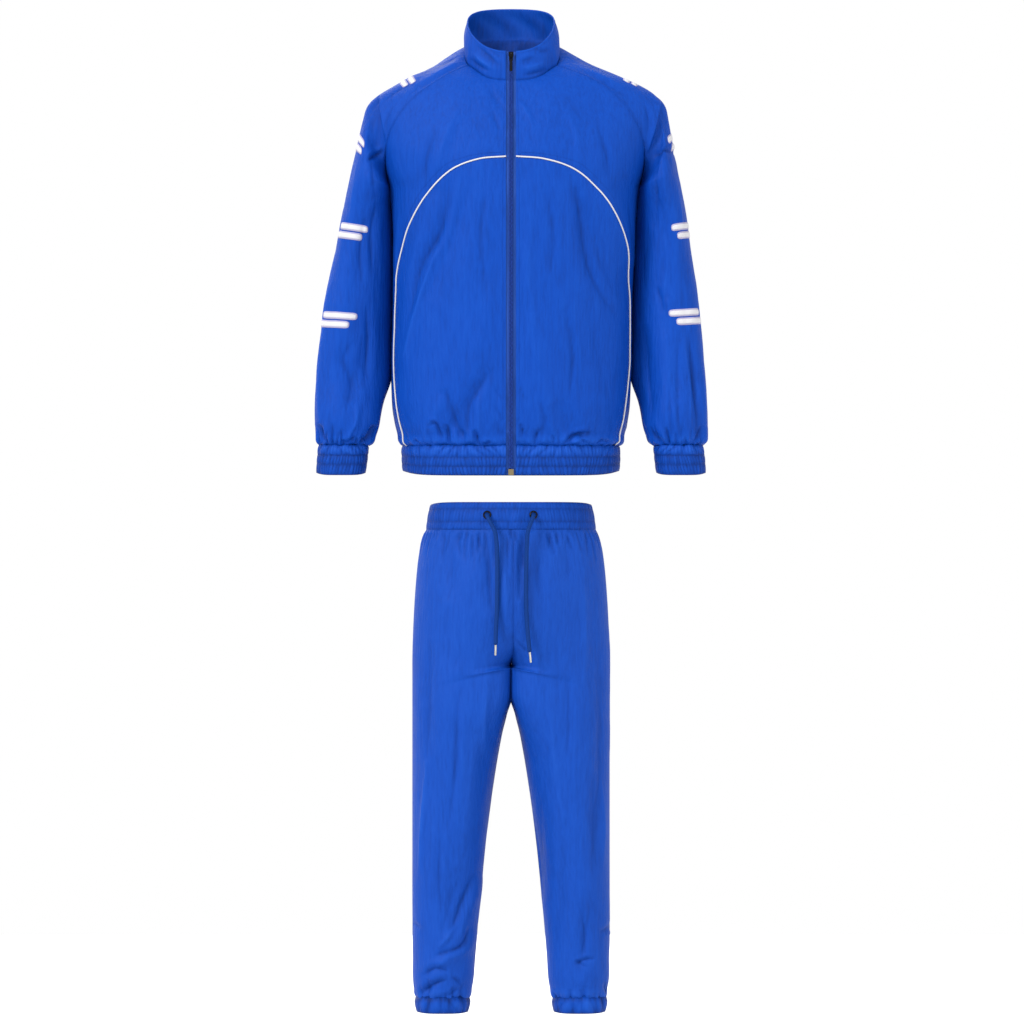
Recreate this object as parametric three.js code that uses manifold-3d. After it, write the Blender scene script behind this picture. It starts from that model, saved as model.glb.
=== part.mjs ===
// A nylon tracksuit, filled out as if worn: a zip jacket with raglan sleeves above drawstring trousers.
// Millimetres, +Z up, front towards -Y. The origin is where the jacket hangs from the neck and shoulders.
// Cloth is a thin wall. Its outer face is worked out from rows of named sizes, and each cut piece is a
// patch of that face, held a hair's breadth from its neighbours at the seams.
import * as THREE from "three";
import { mergeVertices } from "three/addons/utils/BufferGeometryUtils.js";
import Module from "manifold-3d";

const wasm = await Module();
wasm.setup();

// Driving sizes
const CLOTH = 1.6;
const BAND_CLOTH = 2.6;
const SEAM_GAP = 0.25;
const ARMPIT_GAP = 0.5;
const LAY_GAP = 0.35;
const ZIP_HALF = 9;
const HEM_TOP = -679.9;
const HEM_DEPTH = 53.1;
const CUFF_TOP = -679;
const CUFF_DEPTH = 53.5;
const WAIST_TOP = -781;
const WAIST_DEPTH = 49.5;
const ANKLE_TOP = -1678.5;
const ANKLE_DEPTH = 24.5;
const PIPING_RADIUS = 1.7;
const CORD_RADIUS = 3.9;

// Steps of the patches
const NECK_STEPS = 4;
const RAGLAN_STEPS = 8;
const SIDE_STEPS = 12;
const ARCH_TOP_STEPS = 10;
const ARCH_SIDE_STEPS = NECK_STEPS + RAGLAN_STEPS + SIDE_STEPS - ARCH_TOP_STEPS;
const UNDERARM = RAGLAN_STEPS;
const BODY_END = UNDERARM + SIDE_STEPS;
const SLEEVE_END = 22;
const LEG_END = 21;

const SIDES = { left: 1, right: -1 };

const rowsOf = (names, values) =>
  values.map((row) => Object.fromEntries(names.map((name, i) => [name, row[i]])));

// Jacket body, right half of the picture. "at" counts rows from the neck (0) past the underarm (8) to the hem.
const CENTRE = rowsOf(
  ["at", "frontY", "frontZ", "frontPull", "backY", "backZ", "backPull"],
  [
    [0, -80, -22, 44, 66, 54, 36],
    [1, -92, -45, 62, 82, 30, 58],
    [2, -104, -70, 80, 96, 2, 76],
    [3, -114, -95, 95, 107, -28, 92],
    [4, -122, -121, 108, 115, -60, 106],
    [5, -129, -148, 118, 121, -94, 116],
    [6, -134, -174, 126, 125, -130, 124],
    [7, -137, -200, 132, 127, -168, 130],
    [8, -140, -226, 138, 128, -212, 136],
    [10, -143, -300, 140, 128, -300, 138],
    [13, -144, -420, 140, 125, -420, 138],
    [16, -142, -540, 138, 123, -540, 136],
    [18, -138, -620, 134, 125, -620, 132],
    [19, -132, -655, 130, 125, -655, 128],
    [20, -123, -679.5, 124, 116, -679.5, 122],
  ]
);

// Raglan seams: the point, how the body's row arrives there, and how the sleeve's row leaves it.
const SEAM_COLUMNS = ["at", "x", "y", "z", "inX", "inY", "inZ", "outX", "outY", "outZ"];
const FRONT_SEAM = rowsOf(SEAM_COLUMNS, [
  [0, 80, -42, 6, 24, 22, 14, 8, 18, 12],
  [1, 123, -58, -12, 34, 26, 18, 12, 22, 12],
  [2, 161, -62, -35, 46, 30, 22, 20, 26, 16],
  [3, 189, -62, -58, 54, 32, 24, 24, 30, 18],
  [4, 209, -62, -83, 54, 38, 22, 28, 32, 18],
  [5, 224, -56, -110, 48, 44, 18, 30, 22, 14],
  [6, 232, -44, -142, 32, 52, 8, 30, 0, 8],
  [7, 232, -24, -178, 12, 62, 2, 20, -52, 2],
  [8, 225, 4, -212, 0, 82, 0, 0, -104, 0],
]);
const BACK_SEAM = rowsOf(SEAM_COLUMNS, [
  [0, 64, 46, 49, 24, -12, -3, 16, -16, -6],
  [1, 108, 66, 22, 36, -18, -8, 14, -22, -4],
  [2, 148, 78, -12, 46, -22, -12, 18, -28, -2],
  [3, 178, 82, -46, 52, -26, -12, 22, -32, 4],
  [4, 201, 80, -80, 52, -32, -10, 26, -34, 10],
  [5, 218, 72, -114, 46, -38, -6, 28, -28, 14],
  [6, 228, 56, -148, 32, -46, -2, 26, -4, 12],
  [7, 230, 32, -182, 12, -58, 0, 14, 46, 6],
  [8, 225, 4, -212, 0, -78, 0, 0, 101, 0],
]);

// Side seam below the underarm, with how far the front and back rows run along it.
const RUN_COLUMNS = ["at", "x", "y", "z", "frontRun", "backRun"];
const SIDE = rowsOf(
  RUN_COLUMNS,
  [
    [8, 225, 4, -212, 82, 78],
    [10, 218, 4, -300, 88, 82],
    [13, 216, 4, -420, 90, 82],
    [16, 216, 4, -540, 88, 80],
    [18, 213, 3, -620, 86, 78],
    [19, 206, 3, -655, 82, 76],
    [20, 196, 2, -679.5, 76, 72],
  ]
);

// Sleeve ridge, from the neck over the shoulder to the cuff, with how far each row runs along it.
const RIDGE = rowsOf(
  ["at", "x", "y", "z", "run", "tilt"],
  [
    [0, 86, 0, 36, 16, 8],
    [1, 128, 3, 13, 26, 5],
    [2, 180, 6, -9, 34, 2],
    [3, 221, 7, -30, 40, 0],
    [4, 250, 8, -48, 46, 0],
    [5, 268, 9, -66, 54, 0],
    [6, 276, 10, -92, 68, 0],
    [7, 285, 10, -136, 86, 0],
    [8, 295, 10, -185, 104, 0],
    [10, 308, 10, -250, 106, 0],
    [12, 319, 8, -325, 106, 0],
    [14, 332, 4, -400, 103, 0],
    [16, 343, -3, -480, 98, 0],
    [18, 350, -10, -560, 90, 0],
    [20, 354, -14, -625, 82, 0],
    [21, 353, -15, -655, 74, 0],
    [22, 347, -16, -678.5, 56, 0],
  ]
);

// Underarm seam of the sleeve, below the armhole.
const UNDER = rowsOf(
  RUN_COLUMNS,
  [
    [8, 225, 4, -212, 104, 101],
    [9, 224, 20, -239, 105, 90],
    [10, 219, 36, -268, 106, 78],
    [12, 213.5, 44, -338, 106, 72],
    [14, 212.5, 44, -410, 104, 72],
    [16, 212.5, 38, -486, 100, 74],
    [18, 216.5, 24, -563, 92, 78],
    [19, 229, 4, -598, 86, 80],
    [20, 238, -10, -627, 82, 80],
    [21, 246, -16, -655, 74, 74],
    [22, 256, -18, -678.5, 56, 54],
  ]
);

// The piped seam that arches over the front, in the front view.
const ARCH = rowsOf(
  ["x", "z"],
  [
    [ZIP_HALF, -160],
    [60, -165],
    [110, -183],
    [150, -219],
    [180, -266],
    [200, -325],
    [209, -400],
    [211, -480],
    [210, -560],
    [203, -625],
    [197, -652],
    [188, -679.5],
  ]
);

// Trouser legs: outer side seam, then the front and back pieces' inner edges (centre seam, crotch, inseam).
const LEG_SIDE = rowsOf(
  RUN_COLUMNS,
  [
    [0, 154, 2, -831, 56, 60],
    [1, 162, 2, -855, 60, 66],
    [2, 168, 2, -890, 64, 72],
    [3, 172, 2, -932, 68, 78],
    [4, 175, 2, -978, 72, 82],
    [5, 177, 2, -1024, 78, 88],
    [6, 178, 2, -1062, 88, 98],
    [7, 178, 2, -1094, 104, 114],
    [8, 178, 2, -1124, 124, 134],
    [9, 178, 2, -1165, 132, 142],
    [10, 178, 2, -1210, 129, 141],
    [12, 178, 1, -1303, 118, 132],
    [14, 178, 0, -1400, 107, 117],
    [16, 178, 0, -1500, 96, 108],
    [18, 177, 2, -1590, 86, 94],
    [20, 176, 4, -1650, 78, 84],
    [21, 171, 4, -1678, 66, 68],
  ]
);
const INNER_COLUMNS = ["at", "x", "y", "z", "outX", "outY", "outZ"];
const LEG_FRONT = rowsOf(INNER_COLUMNS, [
  [0, 0.2, -104, -831, 84, 0, 0],
  [1, 0.2, -110, -855, 88, 0, 0],
  [2, 0.2, -115, -890, 92, 0, 0],
  [3, 0.2, -119, -930, 94, 0, 0],
  [4, 0.2, -119, -975, 92, -2, 0],
  [5, 0.2, -110, -1018, 84, -10, -4],
  [6, 0.2, -88, -1050, 56, -40, -8],
  [7, 0.4, -48, -1071, 20, -92, -12],
  [8, 2, 4, -1080, 0, -136, 0],
]);
const LEG_BACK = rowsOf(INNER_COLUMNS, [
  [0, 0.2, 112, -831, 80, 0, 0],
  [1, 0.2, 120, -855, 86, 0, 0],
  [2, 0.2, 128, -890, 92, 0, 0],
  [3, 0.2, 136, -930, 98, 0, 0],
  [4, 0.2, 140, -975, 98, 2, 0],
  [5, 0.2, 134, -1018, 88, 12, -4],
  [6, 0.2, 108, -1050, 58, 46, -8],
  [7, 0.4, 58, -1071, 20, 100, -12],
  [8, 2, 4, -1080, 0, 146, 0],
]);
const INSEAM = rowsOf(RUN_COLUMNS, [
  [8, 2, 4, -1080, 136, 146],
  [9, 5, 4, -1150, 134, 146],
  [10, 16, 4, -1200, 130, 143],
  [12, 33, 4, -1300, 118, 132],
  [14, 46, 3, -1400, 106, 117],
  [16, 56, 3, -1500, 96, 108],
  [18, 64, 4, -1590, 86, 94],
  [20, 69, 4, -1650, 78, 84],
  [21, 76, 4, -1678, 66, 68],
]);

// Largest folds, as soft troughs (below zero) and ridges along a line in the front view.
const FOLD_COLUMNS = ["x0", "z0", "x1", "z1", "width", "lift"];
const JACKET_FRONT_FOLDS = rowsOf(FOLD_COLUMNS, [
  [110, -215, 190, -420, 22, -5],
  [150, -205, 214, -360, 20, 4],
  [130, -400, 180, -600, 24, -4],
  [-70, -200, -150, -420, 26, -3],
  [-150, -230, -196, -420, 18, 4],
  [-60, -560, -120, -672, 22, -5],
  [-120, -590, -160, -672, 18, 4],
  [80, -600, 110, -674, 20, -4],
  [-30, -380, -90, -640, 26, 3],
  [40, -440, 70, -660, 24, 3],
]);
const JACKET_BACK_FOLDS = rowsOf(FOLD_COLUMNS, [
  [-150, -150, -90, -480, 28, -5],
  [150, -150, 100, -460, 28, -5],
  [-40, -420, -70, -672, 24, 4],
  [60, -380, 50, -672, 26, -4],
  [150, -480, 130, -672, 22, 4],
  [-160, -500, -140, -672, 22, -4],
]);
const SLEEVE_FOLDS = rowsOf(FOLD_COLUMNS, [
  [-258, -190, -288, -430, 24, -4],
  [-306, -250, -322, -560, 20, 3],
  [-264, -480, -290, -664, 22, -4],
  [262, -200, 280, -420, 24, -5],
  [306, -330, 326, -600, 20, -3],
  [276, -470, 296, -664, 22, 4],
]);
const LEG_FRONT_FOLDS = rowsOf(FOLD_COLUMNS, [
  [-46, -838, -38, -985, 9, -5],
  [-12, -838, -14, -1010, 8, 3],
  [16, -838, 12, -960, 8, -4],
  [44, -838, 52, -1000, 12, -4],
  [-104, -840, -112, -960, 16, -3],
  [100, -845, 106, -930, 14, -3],
  [-150, -1150, -100, -1560, 26, -4],
  [-84, -1440, -128, -1560, 16, -5],
  [-80, -1560, -150, -1640, 16, 4],
  [96, -1350, 84, -1600, 20, -4],
  [150, -1480, 120, -1640, 18, -4],
  [-66, -1200, -90, -1420, 20, 3],
]);
const LEG_BACK_FOLDS = rowsOf(FOLD_COLUMNS, [
  [-90, -840, -110, -1040, 18, -4],
  [90, -840, 110, -1040, 18, -4],
  [40, -1060, 130, -1120, 18, -6],
  [-40, -1060, -130, -1130, 18, -6],
  [-60, -1330, -150, -1370, 20, 4],
  [60, -1350, 150, -1400, 20, 4],
  [-80, -1500, -150, -1640, 20, -4],
  [90, -1500, 150, -1630, 20, -4],
]);
const SWAY = rowsOf(
  ["at", "shift"],
  [
    [-540, 0],
    [-400, 3],
    [-300, 5],
    [-200, 6.5],
    [-100, 8],
    [-50, 9.5],
    [-22, 11],
    [0, 8],
    [40, 3],
  ]
);
// Where the shoulder cloth folds over the hanging sleeve, in sleeve rows and shares of the way round.
const ARMHOLE_FOLD = { atRidge: 4.6, atSeam: 6.9, ridgeShare: 0.47, drop: 7, reach: 2.4 };

const point = (x, y, z) => new THREE.Vector3(x, y, z);
const smooth = (t) => THREE.MathUtils.smoothstep(t, 0, 1);

// A named column of a table at any row position, as a smooth curve through the rows.
function read(table, at, column) {
  const last = table.length - 1;
  let i = 0;
  while (i < last - 1 && at > table[i + 1].at) i += 1;
  const rise = (j) => (table[j + 1][column] - table[j][column]) / (table[j + 1].at - table[j].at);
  const slope = (j) => {
    if (j === 0) return rise(0);
    if (j === last) return rise(last - 1);
    const before = table[j].at - table[j - 1].at;
    const after = table[j + 1].at - table[j].at;
    return (rise(j - 1) * after + rise(j) * before) / (before + after);
  };
  const span = table[i + 1].at - table[i].at;
  const t = THREE.MathUtils.clamp((at - table[i].at) / span, 0, 1);
  const from = table[i][column];
  const to = table[i + 1][column];
  const keep = (1 + 2 * t) * (1 - t) ** 2;
  return (
    from * keep +
    to * (1 - keep) +
    span * (slope(i) * t * (1 - t) ** 2 - slope(i + 1) * t * t * (1 - t))
  );
}

const readPoint = (table, at, x = "x", y = "y", z = "z") =>
  point(read(table, at, x), read(table, at, y), read(table, at, z));

// A point of the curve that leaves a along leave and arrives at b along arrive.
function bend(a, leave, arrive, b, t) {
  const s = 1 - t;
  return point(0, 0, 0)
    .addScaledVector(a, s * s * s + 3 * s * s * t)
    .addScaledVector(leave, 3 * s * s * t)
    .addScaledVector(arrive, -3 * s * t * t)
    .addScaledVector(b, t * t * t + 3 * s * t * t);
}

// A point on a panel's edge and the way its row runs there: a shaped seam above, a straighter one below
function edgeOf(seam, below, run, sign, way) {
  return (at) => {
    if (at > below[0].at) {
      return { p: readPoint(below, at), way: point(0, sign * read(below, at, run), 0) };
    }
    return { p: readPoint(seam, at), way: readPoint(seam, at, `${way}X`, `${way}Y`, `${way}Z`) };
  };
}
const bodyFrontEdge = edgeOf(FRONT_SEAM, SIDE, "frontRun", 1, "in");
const bodyBackEdge = edgeOf(BACK_SEAM, SIDE, "backRun", -1, "in");
const sleeveFrontEdge = edgeOf(FRONT_SEAM, UNDER, "frontRun", -1, "out");
const sleeveBackEdge = edgeOf(BACK_SEAM, UNDER, "backRun", 1, "out");

// Plain faces, right half of the picture, from shares along a row (u) and row position (at)
function bodyHalf(prefix, fromX, edge) {
  return (u, at) => {
    const centre = point(fromX, read(CENTRE, at, `${prefix}Y`), read(CENTRE, at, `${prefix}Z`));
    const leave = point(read(CENTRE, at, `${prefix}Pull`), 0, 0);
    const { p, way } = edge(at);
    return bend(centre, leave, way, p, u);
  };
}
const bodyFront = bodyHalf("front", ZIP_HALF, bodyFrontEdge);
const bodyBack = bodyHalf("back", 0, bodyBackEdge);

function sleeveFace(u, at) {
  const ridge = readPoint(RIDGE, at);
  const run = point(0, read(RIDGE, at, "run"), read(RIDGE, at, "tilt"));
  if (u <= 0.5) {
    const front = sleeveFrontEdge(at);
    return bend(front.p, front.way, run, ridge, 2 * u);
  }
  const back = sleeveBackEdge(at);
  return bend(ridge, run, back.way.negate(), back.p, 2 * u - 1);
}

function legHalf(seam, run, sign) {
  const inner = edgeOf(seam, INSEAM, run, -sign, "out");
  return (u, at) => {
    const { p, way } = inner(at);
    const arrive = point(0, sign * read(LEG_SIDE, at, run), 0);
    return bend(p, way, arrive, readPoint(LEG_SIDE, at), u);
  };
}
const legFront = legHalf(LEG_FRONT, "frontRun", 1);
const legBack = legHalf(LEG_BACK, "backRun", -1);

// The shoulders hang a little to one side of the zip
const swayAt = (p) => read(SWAY, p.z, "shift") * smooth(p.x / 190);

// How far the folds lift the cloth at a place in the front view
function liftOf(folds, x, z) {
  let lift = 0;
  for (const fold of folds) {
    const alongX = fold.x1 - fold.x0;
    const alongZ = fold.z1 - fold.z0;
    const length = Math.hypot(alongX, alongZ);
    const share = ((x - fold.x0) * alongX + (z - fold.z0) * alongZ) / length ** 2;
    if (share <= 0 || share >= 1) continue;
    const off = ((x - fold.x0) * alongZ - (z - fold.z0) * alongX) / length;
    lift += fold.lift * Math.exp(-((off / fold.width) ** 2)) * Math.sin(Math.PI * share) ** 0.7;
  }
  return lift;
}

// The shoulder fold over the sleeve: the cloth drops behind a line from the ridge to the underarm
function armholeDrop(u, at) {
  const share = u / ARMHOLE_FOLD.ridgeShare;
  if (share >= 1) return 0;
  const line = THREE.MathUtils.lerp(ARMHOLE_FOLD.atSeam, ARMHOLE_FOLD.atRidge, share);
  const past = at - line;
  const reach = ARMHOLE_FOLD.reach;
  const shape = smooth(past / 0.7) * (1 - smooth((past - 0.7) / reach));
  return -ARMHOLE_FOLD.drop * shape * smooth(share * 3 + 0.2) * smooth((1 - share) * 4);
}

// Which way a plain face looks at a place
function outwardOf(face, u, at) {
  const STEP = 0.004;
  const across = face.place(Math.min(u + STEP, 1), at).sub(face.place(Math.max(u - STEP, 0), at));
  const down = face.place(u, at + 10 * STEP).sub(face.place(u, Math.max(at - 10 * STEP, 0)));
  return across.cross(down).normalize().multiplyScalar(face.turn);
}

// Each face: its place, its turn (-1 where its rows run rightwards seen from outside), how freely it folds,
// and the face that it meets at a seam
const bodyCalm = (u, at) => smooth((1 - u) * 6) * smooth((BODY_END - at) * 0.8) * smooth(at * 0.5);
const legCalm = (u, at) => {
  const ends = Math.min(smooth(at * 0.9), smooth((LEG_END - at) * 0.9));
  return ends * smooth((1 - u) * 8);
};
const FACES = {
  front: {
    place: bodyFront,
    turn: -1,
    calm: bodyCalm,
    folds: JACKET_FRONT_FOLDS,
    meets: (u, at) => u === 1 && (at < UNDERARM ? [FACES.sleeve, 0] : [FACES.back, 1]),
  },
  back: {
    place: bodyBack,
    turn: 1,
    calm: bodyCalm,
    folds: JACKET_BACK_FOLDS,
    meets: (u, at) => u === 1 && (at < UNDERARM ? [FACES.sleeve, 1] : [FACES.front, 1]),
  },
  sleeve: {
    place: sleeveFace,
    turn: -1,
    calm: (u, at) =>
      Math.sin(Math.PI * u) ** 0.8 * smooth((SLEEVE_END - at) * 0.8) * smooth((at - 6) * 0.5),
    folds: SLEEVE_FOLDS,
    extra: armholeDrop,
    meets: (u, at) => {
      if (u > 0 && u < 1) return false;
      if (at > UNDERARM) return [FACES.sleeve, 1 - u];
      return u === 0 ? [FACES.front, 1] : [FACES.back, 1];
    },
  },
  legFront: {
    place: legFront,
    turn: -1,
    calm: legCalm,
    folds: LEG_FRONT_FOLDS,
    meets: (u, at) => (u === 1 || (u === 0 && at > UNDERARM)) && [FACES.legBack, u],
  },
  legBack: {
    place: legBack,
    turn: 1,
    calm: legCalm,
    folds: LEG_BACK_FOLDS,
    meets: (u, at) => (u === 1 || (u === 0 && at > UNDERARM)) && [FACES.legFront, u],
  },
};

// A face with its folds, on either side of the body, with the outward direction at each place
function folded(face, side) {
  const sign = side < 0 ? -1 : 1;
  return (u, at) => {
    const here = face.place(u, at);
    const n = outwardOf(face, u, at);
    const met = face.meets(u, at);
    if (met) n.add(outwardOf(met[0], met[1], at)).normalize();
    else if (u === 0) n.setX(0).normalize();
    const lift = liftOf(face.folds, sign * here.x, here.z) * face.calm(u, at);
    here.addScaledVector(n, lift + (face.extra ? face.extra(u, at) : 0));
    return { p: point(sign * here.x + swayAt(here), here.y, here.z), n: point(sign * n.x, n.y, n.z) };
  };
}

// Closed solids from a grid of outer and inner points
const groupOf = new THREE.Group();
const BLUE = "#1c53c6";
const looks = {
  cloth: new THREE.MeshStandardMaterial({ color: BLUE, roughness: 0.55 }),
  rib: new THREE.MeshStandardMaterial({ color: "#1b50be", roughness: 0.6 }),
  white: new THREE.MeshStandardMaterial({ color: "#f3f2f7", roughness: 0.6 }),
  tape: new THREE.MeshStandardMaterial({ color: "#1a3f96", roughness: 0.7 }),
  black: new THREE.MeshStandardMaterial({ color: "#191817", roughness: 0.35, metalness: 0.7 }),
  brass: new THREE.MeshStandardMaterial({ color: "#a38a5c", roughness: 0.4, metalness: 0.6 }),
  steel: new THREE.MeshStandardMaterial({ color: "#c9c6c0", roughness: 0.3, metalness: 0.9 }),
};

function addMesh(name, geometry, look) {
  const mesh = new THREE.Mesh(geometry, look);
  mesh.name = name;
  groupOf.add(mesh);
  return mesh;
}

function closedGeometry(vertices, faces) {
  let volume = 0;
  for (const [a, b, c] of faces) {
    volume += vertices[a].dot(vertices[b].clone().cross(vertices[c]));
  }
  const geometry = new THREE.BufferGeometry();
  geometry.setAttribute(
    "position",
    new THREE.BufferAttribute(new Float32Array(vertices.flatMap((v) => v.toArray())), 3)
  );
  geometry.setIndex(faces.flatMap(([a, b, c]) => (volume > 0 ? [a, b, c] : [a, c, b])));
  geometry.computeVertexNormals();
  return geometry;
}

// Joins an outer and an inner grid, [column][row], into one closed wall
function wallBetween(outer, inner, round = false) {
  const columns = outer.length;
  const rows = outer[0].length;
  const vertices = [...outer.flat(), ...inner.flat()];
  const out = (i, j) => (i % columns) * rows + j;
  const inn = (i, j) => columns * rows + out(i, j);
  const faces = [];
  const quad = (a, b, c, d) => faces.push([a, b, c], [a, c, d]);
  const lastColumn = round ? columns : columns - 1;
  for (let i = 0; i < lastColumn; i += 1) {
    for (let j = 0; j < rows - 1; j += 1) {
      quad(out(i, j), out(i + 1, j), out(i + 1, j + 1), out(i, j + 1));
      quad(inn(i, j), inn(i, j + 1), inn(i + 1, j + 1), inn(i + 1, j));
    }
    quad(out(i, 0), inn(i, 0), inn(i + 1, 0), out(i + 1, 0));
    quad(out(i, rows - 1), out(i + 1, rows - 1), inn(i + 1, rows - 1), inn(i, rows - 1));
  }
  if (!round) {
    for (let j = 0; j < rows - 1; j += 1) {
      quad(out(0, j), out(0, j + 1), inn(0, j + 1), inn(0, j));
      quad(out(columns - 1, j), inn(columns - 1, j), inn(columns - 1, j + 1), out(columns - 1, j + 1));
    }
  }
  return closedGeometry(vertices, faces);
}

function pullFrom(grid, from, towards, gap) {
  const step = grid[towards[0]][towards[1]].p.clone().sub(grid[from[0]][from[1]].p);
  grid[from[0]][from[1]].p.add(step.setLength(gap));
}

// Draws the four edges of a patch back from its seams: first column, last column, first row, last row
function drawBack(grid, gaps) {
  const columns = grid.length - 1;
  const rows = grid[0].length - 1;
  const size = (gap, k) => (typeof gap === "function" ? gap(k) : gap);
  for (let j = 0; j <= rows; j += 1) {
    pullFrom(grid, [0, j], [1, j], size(gaps[0], j));
    pullFrom(grid, [columns, j], [columns - 1, j], size(gaps[1], j));
  }
  for (let i = 0; i <= columns; i += 1) {
    pullFrom(grid, [i, 0], [i, 1], size(gaps[2], i));
    pullFrom(grid, [i, rows], [i, rows - 1], size(gaps[3], i));
  }
}
// The seams draw further apart at the armpit, where the cloth doubles back on itself
const armpitGap = (at) => (at > 4 && at < 10 ? ARMPIT_GAP : SEAM_GAP);

function gridOf(columns, rows, place) {
  return Array.from({ length: columns + 1 }, (_, i) =>
    Array.from({ length: rows + 1 }, (_, j) => place(i, j))
  );
}

// A cut piece of cloth: a patch of a face, with its wall inwards
function panel(name, columns, rows, place, gaps, look = looks.cloth, wall = CLOTH) {
  const grid = gridOf(columns, rows, place);
  drawBack(grid, gaps);
  const outer = grid.map((column) => column.map(({ p }) => p));
  const inner = grid.map((column) => column.map(({ p, n }) => p.clone().addScaledVector(n, -wall)));
  addMesh(name, wallBetween(outer, inner), look);
  return grid;
}

// Points a path at equal steps
function spaced(points, steps) {
  const reach = [0];
  for (let i = 1; i < points.length; i += 1) {
    reach.push(reach[i - 1] + points[i].distanceTo(points[i - 1]));
  }
  const total = reach[reach.length - 1];
  return Array.from({ length: steps + 1 }, (_, k) => {
    const goal = (total * k) / steps;
    let i = 1;
    while (i < points.length - 1 && reach[i] < goal) i += 1;
    return points[i - 1].clone().lerp(points[i], (goal - reach[i - 1]) / (reach[i] - reach[i - 1]));
  });
}

// Where a place in the front view lies on the jacket front, as shares along its row
function locate(x, z) {
  let u = 0.5;
  let at = 10;
  for (let round = 0; round < 40; round += 1) {
    let low = 0;
    let high = 1;
    for (let k = 0; k < 30; k += 1) {
      u = (low + high) / 2;
      if (bodyFront(u, at).x < x) low = u;
      else high = u;
    }
    low = 0;
    high = BODY_END;
    for (let k = 0; k < 30; k += 1) {
      at = (low + high) / 2;
      if (bodyFront(u, at).z > z) low = at;
      else high = at;
    }
  }
  return { u, at };
}

const archCurve = new THREE.CatmullRomCurve3(ARCH.map((r) => point(r.x, r.z, 0)), false, "centripetal");
const archSteps = archCurve
  .getSpacedPoints(ARCH_TOP_STEPS + ARCH_SIDE_STEPS)
  .map((p) => locate(p.x, p.y));
archSteps[0].u = 0;
archSteps[archSteps.length - 1].at = BODY_END;

const mix = (a, b, t) => ({
  u: THREE.MathUtils.lerp(a.u, b.u, t),
  at: THREE.MathUtils.lerp(a.at, b.at, t),
});

// Jacket front inside the arch, from the zip to the piping
function placeInsideArch(i, j) {
  const a = i / ARCH_TOP_STEPS;
  const b = j / ARCH_SIDE_STEPS;
  const start = archSteps[0];
  const corner = archSteps[ARCH_TOP_STEPS];
  const end = archSteps[archSteps.length - 1];
  const hemStart = { u: 0, at: BODY_END };
  const top = archSteps[i];
  const side = archSteps[ARCH_TOP_STEPS + j];
  const zip = mix(start, hemStart, b);
  const hem = mix(hemStart, end, a);
  const blend = (key) =>
    (1 - b) * top[key] +
    b * hem[key] +
    (1 - a) * zip[key] +
    a * side[key] -
    (1 - a) * (1 - b) * start[key] -
    a * (1 - b) * corner[key] -
    (1 - a) * b * hemStart[key] -
    a * b * end[key];
  return { u: blend("u"), at: blend("at") };
}

// Jacket front outside the arch: its far edge runs along the neck, the raglan seam and the side
function outerEdge(k) {
  if (k <= NECK_STEPS) return { u: k / NECK_STEPS, at: 0 };
  return { u: 1, at: k - NECK_STEPS };
}

const OUTSIDE_ROWS = 6;
const BACK_COLUMNS = 8;
const SLEEVE_COLUMNS = 12;
const LEG_COLUMNS = 8;

function jacketFront(sideName, side) {
  const face = folded(FACES.front, side);
  const at = (place) => face(place.u, place.at);
  panel(
    `front_centre_${sideName}`,
    ARCH_TOP_STEPS,
    ARCH_SIDE_STEPS,
    (i, j) => at(placeInsideArch(i, j)),
    [0, SEAM_GAP, SEAM_GAP, 0]
  );
  panel(
    `front_outer_${sideName}`,
    ARCH_TOP_STEPS + ARCH_SIDE_STEPS,
    OUTSIDE_ROWS,
    (i, j) => at(mix(archSteps[i], outerEdge(i), j / OUTSIDE_ROWS)),
    [0, 0, SEAM_GAP, (i) => armpitGap(i - NECK_STEPS)]
  );
  const lift = PIPING_RADIUS + LAY_GAP;
  const path = archSteps.map((place) => {
    const { p, n } = at(place);
    return { p: p.addScaledVector(n, lift), n };
  });
  addMesh(`piping_${sideName}`, tubeAlong(path, PIPING_RADIUS, 5), looks.white);
}

// A tube with flat ends, its section turned to each place's outward direction
function tubeAlong(path, radius, sides) {
  const rings = path.map(({ p, n }, i) => {
    const ahead = path[Math.min(i + 1, path.length - 1)].p;
    const behind = path[Math.max(i - 1, 0)].p;
    const along = ahead.clone().sub(behind).normalize();
    const across = along.clone().cross(n).normalize();
    const up = across.clone().cross(along);
    return Array.from({ length: sides }, (_, k) => {
      const turn = (2 * Math.PI * (k + 0.5)) / sides;
      return p
        .clone()
        .addScaledVector(across, radius * Math.cos(turn))
        .addScaledVector(up, radius * Math.sin(turn));
    });
  });
  const faces = [];
  for (let i = 0; i < rings.length - 1; i += 1) {
    for (let k = 0; k < sides; k += 1) {
      const next = (k + 1) % sides;
      const [a, b, c, d] = [i * sides + k, (i + 1) * sides + k, (i + 1) * sides + next, i * sides + next];
      faces.push([a, b, c], [a, c, d]);
    }
  }
  const last = (rings.length - 1) * sides;
  for (let k = 1; k < sides - 1; k += 1) {
    faces.push([0, k, k + 1], [last, last + k + 1, last + k]);
  }
  return closedGeometry(rings.flat(), faces);
}

function jacketBack() {
  const faces = {
    1: folded(FACES.back, 1),
    "-1": folded(FACES.back, -1),
  };
  return panel(
    "back",
    2 * BACK_COLUMNS,
    BODY_END,
    (i, j) => {
      const share = (i - BACK_COLUMNS) / BACK_COLUMNS;
      return faces[share < 0 ? -1 : 1](Math.abs(share), j);
    },
    [armpitGap, armpitGap, 0, 0]
  );
}

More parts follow.
